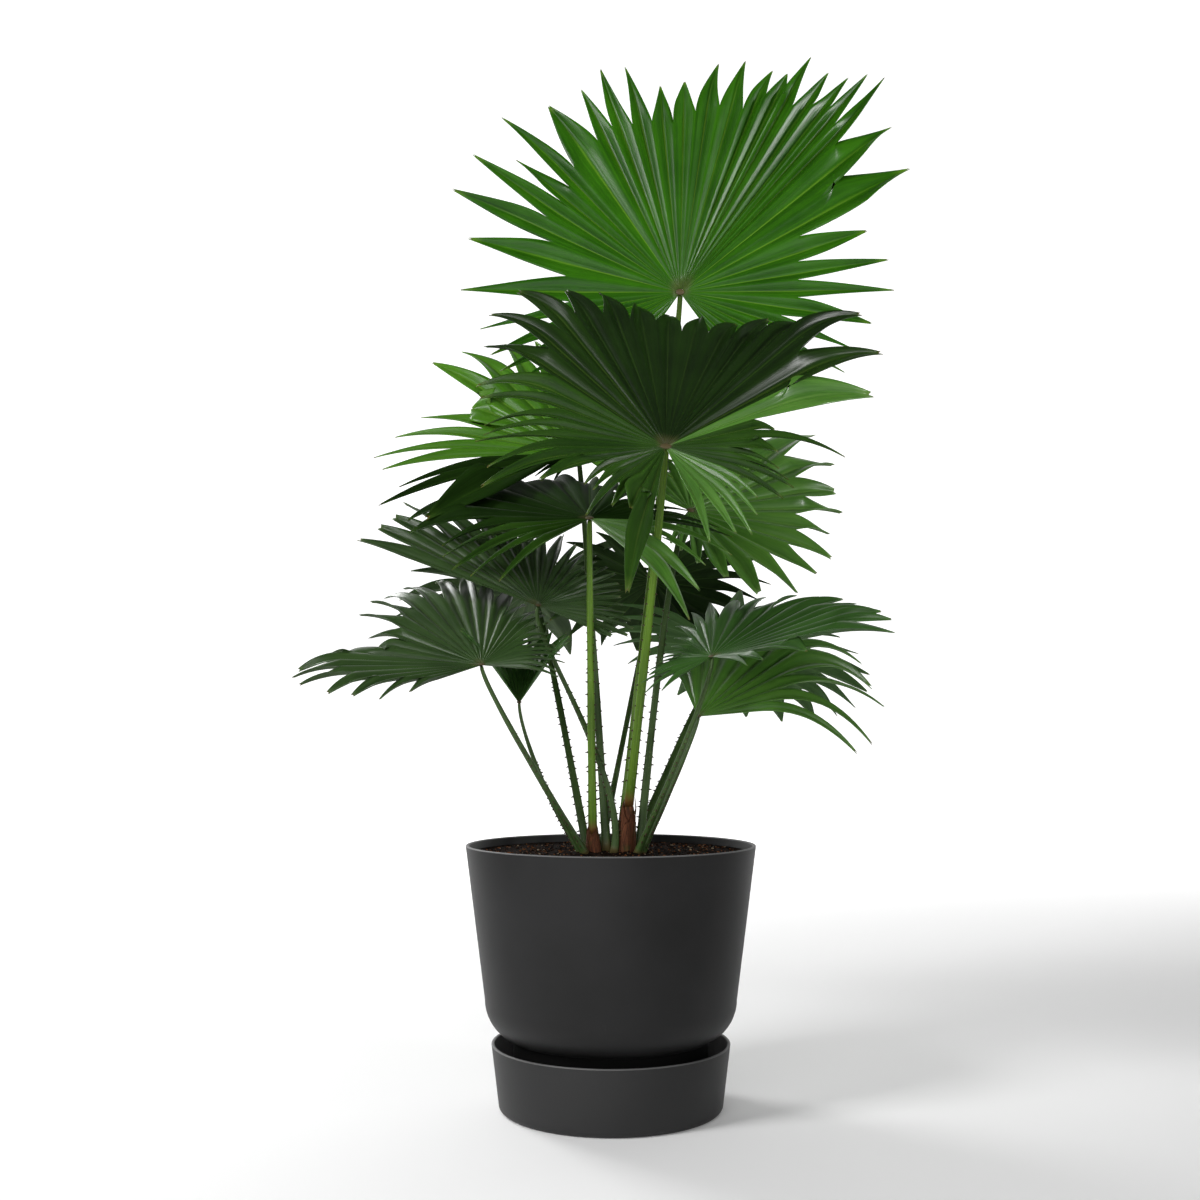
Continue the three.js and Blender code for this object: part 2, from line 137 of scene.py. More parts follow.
def show(name: str, data: bpy.types.ID) -> bpy.types.Object:
    """Puts a mesh, a lamp or a lens into the scene as an object.

    Args:
        name: The object's name.
        data: The mesh, lamp or lens.

    Returns:
        The object.
    """
    thing = bpy.data.objects.new(name, data)
    bpy.context.scene.collection.objects.link(thing)
    return thing


@dataclass(frozen=True)
class Wire:
    """A shader output that takes part in Python expressions."""

    painter: "Painter"
    socket: bpy.types.NodeSocket

    def _maths(self, operation: str, *terms: "Wire | float") -> "Wire":
        """Adds one Math node over the given terms."""
        return self.painter.node("ShaderNodeMath", {"operation": operation}, dict(enumerate(terms)))

    def __add__(self, other: "Wire | float") -> "Wire":
        """This plus other."""
        return self._maths("ADD", self, other)

    def __radd__(self, other: float) -> "Wire":
        """A number plus this."""
        return self._maths("ADD", other, self)

    def __sub__(self, other: "Wire | float") -> "Wire":
        """This minus other."""
        return self._maths("SUBTRACT", self, other)

    def __rsub__(self, other: float) -> "Wire":
        """A number minus this."""
        return self._maths("SUBTRACT", other, self)

    def __mul__(self, other: "Wire | float") -> "Wire":
        """This times other."""
        return self._maths("MULTIPLY", self, other)

    def __rmul__(self, other: float) -> "Wire":
        """A number times this."""
        return self._maths("MULTIPLY", other, self)

    def __abs__(self) -> "Wire":
        """The size of this, without its sign."""
        return self._maths("ABSOLUTE", self)

    def fraction(self) -> "Wire":
        """The part after the decimal point."""
        return self._maths("FRACT", self)

    def step(self, low: float, high: float) -> "Wire":
        """A smooth step from 0 at low to 1 at high.

        Args:
            low: Where the step starts.
            high: Where the step ends.

        Returns:
            The stepped value.
        """
        return self.painter.node(
            "ShaderNodeMapRange",
            {"interpolation_type": "SMOOTHSTEP"},
            {"Value": self, "From Min": low, "From Max": high},
        )


class Painter:
    """Builds the nodes of one procedural material."""

    def __init__(self, name: str) -> None:
        """Starts a material with a Principled shader.

        Args:
            name: The material's name.
        """
        self.material = bpy.data.materials.new(name)
        self.material.use_nodes = True
        self.tree = self.material.node_tree
        self.shader = self.tree.nodes["Principled BSDF"]

    def feed(self, socket: bpy.types.NodeSocket, value: object) -> None:
        """Links a wire to a socket, or sets the socket's own value.

        Args:
            socket: The input socket.
            value: A Wire, a number, a vector or a colour.
        """
        if isinstance(value, Wire):
            self.tree.links.new(value.socket, socket)
        else:
            socket.default_value = value

    def node(
        self,
        kind: str,
        settings: dict[str, object] | None = None,
        sockets: dict[str | int, object] | None = None,
        output: str | int = 0,
    ) -> Wire:
        """Adds a node.

        Args:
            kind: The node's type.
            settings: The node's own properties, set first.
            sockets: Values or wires for its inputs.
            output: Which output to return.

        Returns:
            The chosen output.
        """
        made = self.tree.nodes.new(kind)
        for name, value in (settings or {}).items():
            setattr(made, name, value)
        for name, value in (sockets or {}).items():
            self.feed(made.inputs[name], value)
        return Wire(self, made.outputs[output])

    def mix(self, factor: Wire | float, first: Wire | Colour, second: Wire | Colour) -> Wire:
        """Mixes two colours.

        Args:
            factor: 0 gives the first colour and 1 the second.
            first: The colour at 0.
            second: The colour at 1.

        Returns:
            The mixed colour.
        """
        return self.node("ShaderNodeMix", {"data_type": "RGBA"}, {0: factor, 6: first, 7: second}, 2)

    def place(self) -> Wire:
        """The point's own coordinates on the object, in metres."""
        return self.node("ShaderNodeTexCoord", output="Object")

    def lanes(self) -> tuple[Wire, Wire]:
        """Reads the piece's own map.

        Returns:
            The coordinates across its lanes and along them.
        """
        flat = self.node("ShaderNodeUVMap", {"uv_map": "lanes"})
        across, along = (self.node("ShaderNodeSeparateXYZ", {}, {0: flat}, axis) for axis in "XY")
        return across, along

    def noise(self, where: Wire, scale: float, detail: float = 2.0, rough: float = 0.5) -> Wire:
        """A noise value from 0 to 1.

        Args:
            where: The coordinates.
            scale: How fine the noise is.
            detail: How many finer layers it has.
            rough: How strong the finer layers are.

        Returns:
            The noise value.
        """
        sockets = {"Vector": where, "Scale": scale, "Detail": detail, "Roughness": rough}
        return self.node("ShaderNodeTexNoise", {}, sockets)

    def grain(self, across: Wire, along: Wire, finest: float, longest: float) -> Wire:
        """Noise drawn out along the lanes, as in veins and fibres.

        Args:
            across: The coordinate across the lanes.
            along: The coordinate along them.
            finest: How many streaks go across one unit.
            longest: How many streaks follow each other along one unit.

        Returns:
            The noise value.
        """
        drawn = self.node("ShaderNodeCombineXYZ", {}, {0: across * finest, 1: along * longest})
        return self.noise(drawn, 1.0, 3.0, 0.6)

    def relief(self, height: Wire, strength: float, depth: float) -> None:
        """Feeds the shader's normal from a height.

        Args:
            height: The height from 0 to 1.
            strength: How strongly it shows.
            depth: Its real depth in metres.
        """
        sockets = {"Height": height, "Strength": strength, "Distance": depth}
        self.feed(self.shader.inputs["Normal"], self.node("ShaderNodeBump", {}, sockets))

    def finish(self, **sockets: object) -> bpy.types.Material:
        """Feeds the shader and gives the material back.

        Args:
            **sockets: Values or wires by socket name, with _ for a space.

        Returns:
            The finished material.
        """
        for name, value in sockets.items():
            self.feed(self.shader.inputs[name.replace("_", " ")], value)
        return self.material


@dataclass(frozen=True)
class BladeFinish:
    """The satin upper side, or the duller underside, of a pleated leaf."""

    name: str
    body: Colour
    light: Colour
    rib: Colour
    roughness: float
    gloss: float
    veins: tuple[float, float] = (24.0, 3.0)
    bands: tuple[float, float] = (3.0, 1.2)
    patch_scale: float = 16.0
    vein_depth: float = 0.0005
    glow: float = 0.1
    glow_depth: float = 0.0012
    throat: Colour = screen(78, 76, 46)
    dry: Colour = screen(104, 86, 44)

    def build(self) -> bpy.types.Material:
        """Makes the leaf's material.

        Returns:
            The material, with parallel veins, paler ribs and dry tips.
        """
        paint = Painter(self.name)
        across, along = paint.lanes()
        off_rib = abs(across.fraction() - 0.5) * 2.0
        veins = paint.grain(across, along, *self.veins)
        bands = paint.grain(across, along, *self.bands)
        patches = paint.noise(paint.place(), self.patch_scale, 3.0)
        tone = veins.step(0.3, 0.7) * 0.3 + bands.step(0.35, 0.65) * 0.35 + patches.step(0.3, 0.75) * 0.35
        colour = paint.mix(tone, self.body, self.light)
        rib = (1.0 - off_rib.step(0.015, 0.1)) * (1.0 - along) * 0.5
        colour = paint.mix(rib, colour, self.rib)
        fold = off_rib.step(0.9, 1.0) * 0.22
        colour = paint.mix(fold, colour, self.light)
        throat = 1.0 - along.step(0.01, 0.045)
        colour = paint.mix(throat * 0.5, colour, self.throat)
        pale = along.step(0.9, 1.0) * 0.35
        colour = paint.mix(pale, colour, self.rib)
        dry = along.step(0.982, 1.0) * patches.step(0.35, 0.6)
        colour = paint.mix(dry * 0.8, colour, self.dry)
        paint.relief(veins * 0.8 + off_rib.step(0.0, 0.2) * 0.2, 0.35, self.vein_depth)
        return paint.finish(
            Base_Color=colour,
            Roughness=self.roughness + veins * 0.12 + patches * 0.06,
            Specular_IOR_Level=self.gloss,
            Subsurface_Weight=self.glow,
            Subsurface_Radius=(0.5, 1.0, 0.2),
            Subsurface_Scale=self.glow_depth,
        )


@dataclass(frozen=True)
class StalkFinish:
    """A green stalk that reddens towards its foot."""

    name: str
    body: Colour
    shade: Colour
    foot: Colour
    reddened: float = 0.1
    streaks: tuple[float, float] = (22.0, 5.0)
    streak_depth: float = 0.0005
    speckle_scale: float = 420.0
    speckle: Colour = screen(118, 132, 84)

    def build(self) -> bpy.types.Material:
        """Makes the stalk's material.

        Returns:
            The material, streaked along the stalk.
        """
        paint = Painter(self.name)
        across, along = paint.lanes()
        streaks = paint.grain(across, along, *self.streaks)
        speckle = paint.noise(paint.place(), self.speckle_scale)
        colour = paint.mix(streaks.step(0.3, 0.72) * 0.7, self.body, self.shade)
        colour = paint.mix(speckle.step(0.6, 0.75) * 0.35, colour, self.speckle)
        blush = (1.0 - along.step(0.01, self.reddened)) * (0.65 + streaks * 0.35)
        colour = paint.mix(blush, colour, self.foot)
        paint.relief(streaks, 0.4, self.streak_depth)
        return paint.finish(
            Base_Color=colour,
            Roughness=0.38 + streaks * 0.18,
            Specular_IOR_Level=0.25,
        )


@dataclass(frozen=True)
class FibreFinish:
    """A dry brown leaf sheath with fibres along it."""

    name: str
    body: Colour
    dark: Colour
    fibres: tuple[float, float] = (46.0, 2.5)
    fibre_depth: float = 0.0009
    stain_scale: float = 90.0
    stain: Colour = screen(58, 70, 34)

    def build(self) -> bpy.types.Material:
        """Makes the sheath's material.

        Returns:
            The material.
        """
        paint = Painter(self.name)
        across, along = paint.lanes()
        fibres = paint.grain(across, along, *self.fibres)
        stains = paint.noise(paint.place(), self.stain_scale, 3.0)
        colour = paint.mix(fibres.step(0.35, 0.65), self.dark, self.body)
        colour = paint.mix(stains.step(0.5, 0.75) * 0.5, colour, self.stain)
        paint.relief(fibres, 0.8, self.fibre_depth)
        return paint.finish(Base_Color=colour, Roughness=0.62 + fibres * 0.25, Specular_IOR_Level=0.1)


@dataclass(frozen=True)
class PlasticFinish:
    """Moulded anthracite plastic with a fine matte grain."""

    name: str
    body: Colour
    roughness: float = 0.46
    grain_scale: float = 2400.0
    grain_depth: float = 0.0003
    cloud_scale: float = 9.0
    rub_stretch: tuple[float, float, float] = (60.0, 60.0, 9.0)
    cloud: Colour = screen(43, 43, 44)
    rub: Colour = screen(66, 66, 66)

    def build(self) -> bpy.types.Material:
        """Makes the plastic's material.

        Returns:
            The material, with moulding grain and faint rub marks.
        """
        paint = Painter(self.name)
        place = paint.place()
        moulding = paint.noise(place, self.grain_scale)
        cloud = paint.noise(place, self.cloud_scale, 4.0)
        upright = paint.node("ShaderNodeMapping", {}, {"Vector": place, "Scale": self.rub_stretch})
        rubs = paint.noise(upright, 3.0, 4.0, 0.7)
        colour = paint.mix(cloud.step(0.3, 0.7) * 0.35, self.body, self.cloud)
        colour = paint.mix(rubs.step(0.66, 0.8) * 0.2, colour, self.rub)
        paint.relief(moulding, 0.16, self.grain_depth)
        return paint.finish(
            Base_Color=colour,
            Roughness=self.roughness + moulding * 0.1 + rubs.step(0.6, 0.8) * 0.1,
            Specular_IOR_Level=0.22,
        )


@dataclass(frozen=True)
class EarthFinish:
    """Potting soil, or one kind of the crumbs on it."""

    name: str
    body: Colour
    light: Colour
    lump_scale: float = 260.0
    lump_depth: float = 0.002
    damp_scale: float = 22.0

    def build(self) -> bpy.types.Material:
        """Makes the soil's material.

        Returns:
            The material.
        """
        paint = Painter(self.name)
        place = paint.place()
        lumps = paint.noise(place, self.lump_scale, 5.0, 0.65)
        damp = paint.noise(place, self.damp_scale)
        colour = paint.mix(lumps.step(0.42, 0.7), self.body, self.light)
        colour = paint.mix(damp.step(0.4, 0.65) * 0.5, colour, self.body)
        paint.relief(lumps, 0.9, self.lump_depth)
        return paint.finish(Base_Color=colour, Roughness=0.85 + lumps * 0.15, Specular_IOR_Level=0.04)


@dataclass(frozen=True)
class FloorFinish:
    """The plain pale floor."""

    name: str = "studio_floor"
    body: Colour = (0.86, 0.86, 0.86, 1.0)
    near_glow: float = 0.1
    far_glow: float = 0.75
    glow_start: float = 0.3
    glow_end: float = 3.5

    def build(self) -> bpy.types.Material:
        """Makes the floor's material.

        Returns:
            The material, which glows a little more behind the plant.
        """
        paint = Painter(self.name)
        away = paint.node("ShaderNodeSeparateXYZ", {}, {0: paint.place()}, "Y")
        near = (self.near_glow, self.near_glow, self.near_glow, 1.0)
        far = (self.far_glow, self.far_glow, self.far_glow, 1.0)
        return paint.finish(
            Base_Color=self.body,
            Roughness=0.9,
            Specular_IOR_Level=0.1,
            Emission_Color=paint.mix(away.step(self.glow_start, self.glow_end), near, far),
            Emission_Strength=1.0,
        )


SATIN = 0.21
DULL = 0.5
SATIN_GLOSS = 0.12
PALE = 120
PALER = 0.16


class Tint(Enum):
    """The leaf colours with light and shade painted in, from the lit top of the plant to its shaded foot:
    lighter copies of one green where a leaf stands in the light, darker ones where other leaves shade it,
    and greyer greens for most lower leaves.
    """

    # Painted light: the top leaf's green in full light.
    LIT = ("blade_lit", (19, 58, 2), (47, 100, 7), (118, 158, 44), 0.18)
    # Painted shade: the front leaf's green where the top leaf shades it.
    SHADED = ("blade_shaded", (12, 25, 6), (24, 44, 11), (54, 80, 28), 0.12)
    # Painted half shade: between the front leaf's shaded far part and its lit left part.
    HALF_SHADED = ("blade_half_shaded", (14, 30, 6), (32, 56, 14), (74, 98, 36), 0.12)
    # Painted light: a lighter green for the segments that the light from the upper left falls on.
    SIDE_LIT = ("blade_side_lit", (18, 42, 7), (46, 78, 20), (104, 128, 54), 0.14)
    # Painted shade: the darkest green, for leaves and segments that lie under the leaves above them.
    DEEP_SHADED = ("blade_deep_shaded", (14, 30, 7), (30, 54, 14), (64, 94, 32), 0.02)
    # Painted light: the brightest green, for the upper left leaf where it stands in the light.
    UNSHADED = ("blade_unshaded", (48, 94, 12), (80, 132, 30), (130, 160, 66), 0.18)
    # Painted light: a bright green for lower leaves and segments that stand in the light.
    WELL_LIT = ("blade_well_lit", (48, 88, 26), (84, 128, 48), (128, 158, 88), 0.3)
    BLUISH = ("blade_bluish", (36, 66, 24), (62, 99, 43), (98, 130, 74), 0.15)
    DUSKY = ("blade_dusky", (32, 52, 22), (58, 82, 42), (92, 112, 70), 0.15)

    def finish(self) -> BladeFinish:
        """Mixes the leaf's upper side.

        Returns:
            Its satin finish, rougher where it has little gloss.
        """
        name, body, light, rib, gloss = self.value
        roughness = between(DULL, SATIN, min(gloss / SATIN_GLOSS, 1.0))
        return BladeFinish(name, screen(*body), screen(*light), screen(*rib), roughness, gloss)

    def underside(self) -> BladeFinish:
        """Mixes the leaf's lower side.

        Returns:
            Its paler and duller finish.
        """
        name, body, light, rib, gloss = self.value
        pale = [tuple(round(between(level, PALE, PALER)) for level in tone) for tone in (body, light, rib)]
        return BladeFinish(f"{name}_under", *(screen(*tone) for tone in pale), DULL, gloss / 2)


class Side(Enum):
    """The two short stems that the stalks stand around."""

    LEFT = "left"
    RIGHT = "right"


class Shelf:
    """Keeps each finish's material, so that pieces share it."""

    def __init__(self) -> None:
        """Starts with no materials."""
        self.materials: dict[str, bpy.types.Material] = {}

    def take(self, finish: object) -> bpy.types.Material:
        """Gives a finish's material, made at its first use.

        Args:
            finish: A finish with a name and a build method.

        Returns:
            The material.
        """
        if finish.name not in self.materials:
            self.materials[finish.name] = finish.build()
        return self.materials[finish.name]


SHELF = Shelf()


@dataclass
class Piece:
    """A mesh that is being made, and what it stands for in the frame."""

    name: str
    slot: str
    nodes: tuple[str, ...] = ()

    def __post_init__(self) -> None:
        """Opens an empty mesh with a map for lanes."""
        self.shape = bmesh.new()
        self.map = self.shape.loops.layers.uv.new("lanes")
        self.finishes: list[object] = []

    def use(self, finish: object) -> int:
        """Adds a finish.

        Args:
            finish: The finish.

        Returns:
            The index of its material slot.
        """
        if finish not in self.finishes:
            self.finishes.append(finish)
        return self.finishes.index(finish)

    def strip(
        self,
        columns: int,
        rows: int,
        where: Shape,
        lane: Callable[[float, float], tuple[float, float]],
        material: int = 0,
    ) -> list[bmesh.types.BMVert]:
        """Lays a grid and bends it to a shape.

        Args:
            columns: Faces across.
            rows: Faces along.
            where: The place of a point from its share across, -1 to 1, and along, 0 to 1.
            lane: The map coordinates of the same point.
            material: The material slot.

        Returns:
            The strip's vertices.
        """
        made = bmesh.ops.create_grid(self.shape, x_segments=columns, y_segments=rows, size=1.0)["verts"]
        shares = {vert: (vert.co.x, (vert.co.y + 1.0) / 2.0) for vert in made}
        faces = {face for vert in made for face in vert.link_faces}
        for face in faces:
            face.material_index = material
            for loop in face.loops:
                loop[self.map].uv = lane(*shares[loop.vert])
        for vert, (across, along) in shares.items():
            vert.co = where(across, along)
        return made

    def paint(self, verts: list[bmesh.types.BMVert], finish: object) -> None:
        """Gives a finish to the faces round some vertices.

        Args:
            verts: The vertices.
            finish: The finish.
        """
        material = self.use(finish)
        for face in {face for vert in verts for face in vert.link_faces}:
            face.material_index = material

    def tube(
        self,
        sides: int,
        rows: int,
        where: Shape,
        material: int = 0,
        turn: Callable[[float], float] | None = None,
    ) -> list[bmesh.types.BMVert]:
        """Rolls a strip into a tube whose seam is closed.

        Args:
            sides: Faces around.
            rows: Faces along.
            where: The place of a point from its angle in radians and its share along.
            material: The material slot.
            turn: The map coordinate along the tube, from the share along.

        Returns:
            The tube's vertices.
        """
        along_map = turn or (lambda along: along)
        made = self.strip(
            sides,
            rows,
            lambda across, along: where(across * math.pi, along),
            lambda across, along: ((across + 1.0) / 2.0, along_map(along)),
            material,
        )
        bmesh.ops.remove_doubles(self.shape, verts=made, dist=WELD)
        return [vert for vert in made if vert.is_valid]

    def cap(self, tube: list[bmesh.types.BMVert]) -> None:
        """Closes a tube's open ends.

        Args:
            tube: The tube's vertices.
        """
        rims = dict.fromkeys(edge for vert in tube for edge in vert.link_edges if edge.is_boundary)
        bmesh.ops.holes_fill(self.shape, edges=list(rims), sides=0)

    def turned(self, line: list[Vector], steps: int) -> None:
        """Turns an open line in the XZ plane about the upright axis, as the piece's only shape.

        Args:
            line: The line's points in millimetres.
            steps: Faces around.
        """
        verts = [self.shape.verts.new(point * MM) for point in line]
        edges = [self.shape.edges.new(pair) for pair in zip(verts, verts[1:])]
        bmesh.ops.spin(
            self.shape,
            geom=verts + edges,
            cent=(0.0, 0.0, 0.0),
            axis=(0.0, 0.0, 1.0),
            dvec=(0.0, 0.0, 0.0),
            angle=2.0 * math.pi,
            steps=steps,
            use_merge=True,
            use_duplicate=False,
        )
        bmesh.ops.remove_doubles(self.shape, verts=self.shape.verts[:], dist=WELD)
        bmesh.ops.recalc_face_normals(self.shape, faces=self.shape.faces[:])

    def soften_lip(self, height: float) -> None:
        """Bevels the lip at the top of a turned wall, and gives it a pale plastic as a painted highlight.

        Args:
            height: The lip's height in metres.
        """
        ring = height - 0.05 * MM
        edges = [edge for edge in self.shape.edges if all(vert.co.z > ring for vert in edge.verts)]
        bmesh.ops.bevel(
            self.shape,
            geom=edges,
            offset=LIP_BEVEL * MM,
            affect="EDGES",
            segments=3,
            profile=0.5,
            material=-1,
        )
        # The lip's faces get the pale plastic, a painted highlight.
        lip_highlight = self.use(LIP_HIGHLIGHT)
        for face in self.shape.faces:
            if face.calc_center_median().z > height - LIP_BEVEL * MM:
                face.material_index = lip_highlight

    def close(self, smooth: bool = True, skin: float = 0.0, other_side: int = 0) -> None:
        """Turns the mesh into an object that rides on the plant's body.

        Args:
            smooth: Whether its faces are shaded smooth.
            skin: The thickness in millimetres that its open sheets get.
            other_side: How many slots further the finish of the sheets' other side is.
        """
        for face in self.shape.faces:
            face.smooth = smooth
        mesh = bpy.data.meshes.new(self.name)
        self.shape.to_mesh(mesh)
        self.shape.free()
        for finish in self.finishes:
            mesh.materials.append(SHELF.take(finish))
        piece = show(self.name, mesh)
        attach(piece, BODY)
        if self.nodes:
            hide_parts(*self.nodes)
        if skin:
            shell = piece.modifiers.new("skin", "SOLIDIFY")
            shell.thickness = skin * MM
            shell.offset = -1.0
            shell.material_offset = other_side
        log.info("%s: %d faces", self.name, len(mesh.polygons))


PLASTIC = PlasticFinish("anthracite_plastic", screen(28, 28, 28))
# Painted light: the tray's plastic is made lighter than the pot's, standing in for the light its front face
# catches and reflects.
LIT_TRAY_PLASTIC = PlasticFinish("lit_tray_plastic", screen(48, 48, 48))
# Painted light and shade on the stalks: a lighter yellow-green for the stalks in the light, and a darker,
# greyer green for the others, partly their own colour and partly painted shade.
SUNLIT_STALK = StalkFinish(
    "sunlit_stalk", screen(90, 124, 28), screen(54, 82, 22), screen(110, 62, 40), reddened=0.06
)
DULL_SHADED_STALK = StalkFinish(
    "dull_shaded_stalk", screen(62, 86, 40), screen(42, 62, 28), screen(86, 72, 44), reddened=0.04
)
THORN = StalkFinish("thorn", screen(52, 54, 26), screen(40, 40, 22), screen(60, 42, 28))
SHEATH = FibreFinish("dry_sheath", screen(112, 68, 46), screen(54, 34, 24))
# Painted highlight: a pale grey for the soft lip of the pot and the tray, in place of the light that the
# lip catches.
LIP_HIGHLIGHT = PlasticFinish("lip_highlight_plastic", screen(104, 104, 104))
CREST = StalkFinish(
    "leaf_crest", screen(74, 78, 44), screen(56, 64, 32), screen(76, 64, 42), reddened=0.9
)


@dataclass(frozen=True)
class Tray:
    """The round tray that holds the water, in millimetres."""

    height: float = 64.5
    top_radius: float = 119.2
    foot_radius: float = 111.7
    foot_round: float = 6.0
    wall: float = 3.2
    floor: float = 4.0
    steps: int = 180
    round_steps: int = 6

    def build(self) -> None:
        """Makes the tray with its rounded foot and soft lip."""
        piece = Piece("water_tray_moulded", "plastic", ("water_tray",))
        piece.use(LIT_TRAY_PLASTIC)
        slope = (self.top_radius - self.foot_radius) / (self.height - self.foot_round)
        line = [
            outline(0.0, 0.0),
            *rounding(self.foot_radius, self.foot_round, self.foot_round, 90.0, self.round_steps),
            outline(self.top_radius, self.height),
            outline(self.top_radius - self.wall, self.height),
            outline(self.foot_radius + slope * self.floor - self.wall, self.floor),
            outline(0.0, self.floor),
        ]
        piece.turned(line, self.steps)
        piece.soften_lip(self.height * MM)
        piece.close()


@dataclass(frozen=True)
class Pot:
    """The tapered pot, in millimetres."""

    top: float = 259.0
    rim_radius: float = 146.5
    shoulder_height: float = 108.0
    shoulder_radius: float = 126.1
    shoulder_round: float = 42.0
    shoulder_turn: float = 72.0
    foot_radius: float = 98.0
    wall: float = 3.4
    floor: float = 4.3
    steps: int = 200
    round_steps: int = 10

    def line(self, wall: float) -> list[Vector]:
        """The pot's outer line from foot to rim, moved inwards.

        Args:
            wall: How far inwards.

        Returns:
            The line's points.
        """
        radius = self.shoulder_radius - wall
        return [
            outline(self.foot_radius - wall, self.floor + wall),
            *rounding(
                radius, self.shoulder_height, self.shoulder_round, self.shoulder_turn, self.round_steps
            ),
            outline(self.rim_radius - wall, self.top),
        ]

    def radius_at(self, height: float) -> float:
        """The outer radius at a height above the shoulder, in millimetres."""
        share = (height - self.shoulder_height) / (self.top - self.shoulder_height)
        return between(self.shoulder_radius, self.rim_radius, share)

    def build(self) -> None:
        """Makes the pot with its soft lip."""
        piece = Piece("pot_moulded", "plastic", ("pot",))
        piece.use(PLASTIC)
        outer = self.line(0.0)
        inner = self.line(self.wall)[::-1]
        piece.turned([outline(0.0, outer[0].z), *outer, *inner, outline(0.0, inner[-1].z)], self.steps)
        piece.soften_lip(self.top * MM)
        piece.close()


@dataclass(frozen=True)
class Stem:
    """A short stem wrapped in old sheaths, in millimetres."""

    side: Side
    x: float
    y: float
    foot_radius: float
    top_radius: float
    height: float
    lean: float

    def axis(self, share: float) -> Vector:
        """The stem's middle at a share of its height, in millimetres."""
        return Vector((self.x + self.lean * share, self.y, Soil.top + CLEAR + self.height * share))

    def build(self) -> None:
        """Makes the core and the sheaths that wrap it."""
        piece = Piece(f"stem_{self.side.value}_sheaths", "sheath", (f"stem_{self.side.value}",))
        piece.use(SHEATH)

        def core(angle: float, share: float) -> Vector:
            """Finds a point of the core, which narrows to its stalk.

            Args:
                angle: The angle in radians.
                share: 0 at the foot and 1 at the top.

            Returns:
                The place in metres.
            """
            radius = between(self.foot_radius, self.top_radius, share) - CORE_INSET * (1.0 + share**6)
            radius *= 1.0 + CORE_WAVE * math.sin(3.0 * angle + 4.0 * share)
            return (self.axis(share) + compass(angle) * radius) * MM

        piece.cap(piece.tube(24, 12, core))
        for index in range(WRAPS):
            self.wrap(piece, index)
        piece.close(skin=SHEATH_SKIN)

    def wrap(self, piece: Piece, index: int) -> None:
        """Adds one sheath that clasps the stem and ends in a torn point.

        Args:
            piece: The piece to add to.
            index: Which sheath, from the outermost.
        """
        middle = math.radians(SHEATH_START + SHEATH_STEP * index)
        reach = between(SHORTEST_SHEATH, 1.0, index / (WRAPS - 1)) + SHEATH_RISE / self.height

        def point(across: float, along: float) -> Vector:
            """Finds a point of the sheath, narrower towards its torn top.

            Args:
                across: -1 at one edge and 1 at the other.
                along: 0 at the foot and 1 at the torn point.

            Returns:
                The place in metres.
            """
            share = along * reach * (1.0 - SHEATH_TEAR * along * abs(across))
            half = math.radians(SHEATH_HALF) * (1.0 - 0.8 * along**3)
            angle = middle + across * half
            over = max(0.0, share - 1.0) * self.height
            radius = between(self.foot_radius, self.top_radius, min(share, 1.0)) - SHEATH_CLASP * over
            radius += SHEATH_LAYER * (WRAPS - index) + SHEATH_WAVE * math.sin(9.0 * angle + 6.0 * share)
            return (self.axis(share) + compass(angle) * radius) * MM

        piece.strip(14, 14, point, lambda across, along: ((across + 1.0) / 2.0, along))


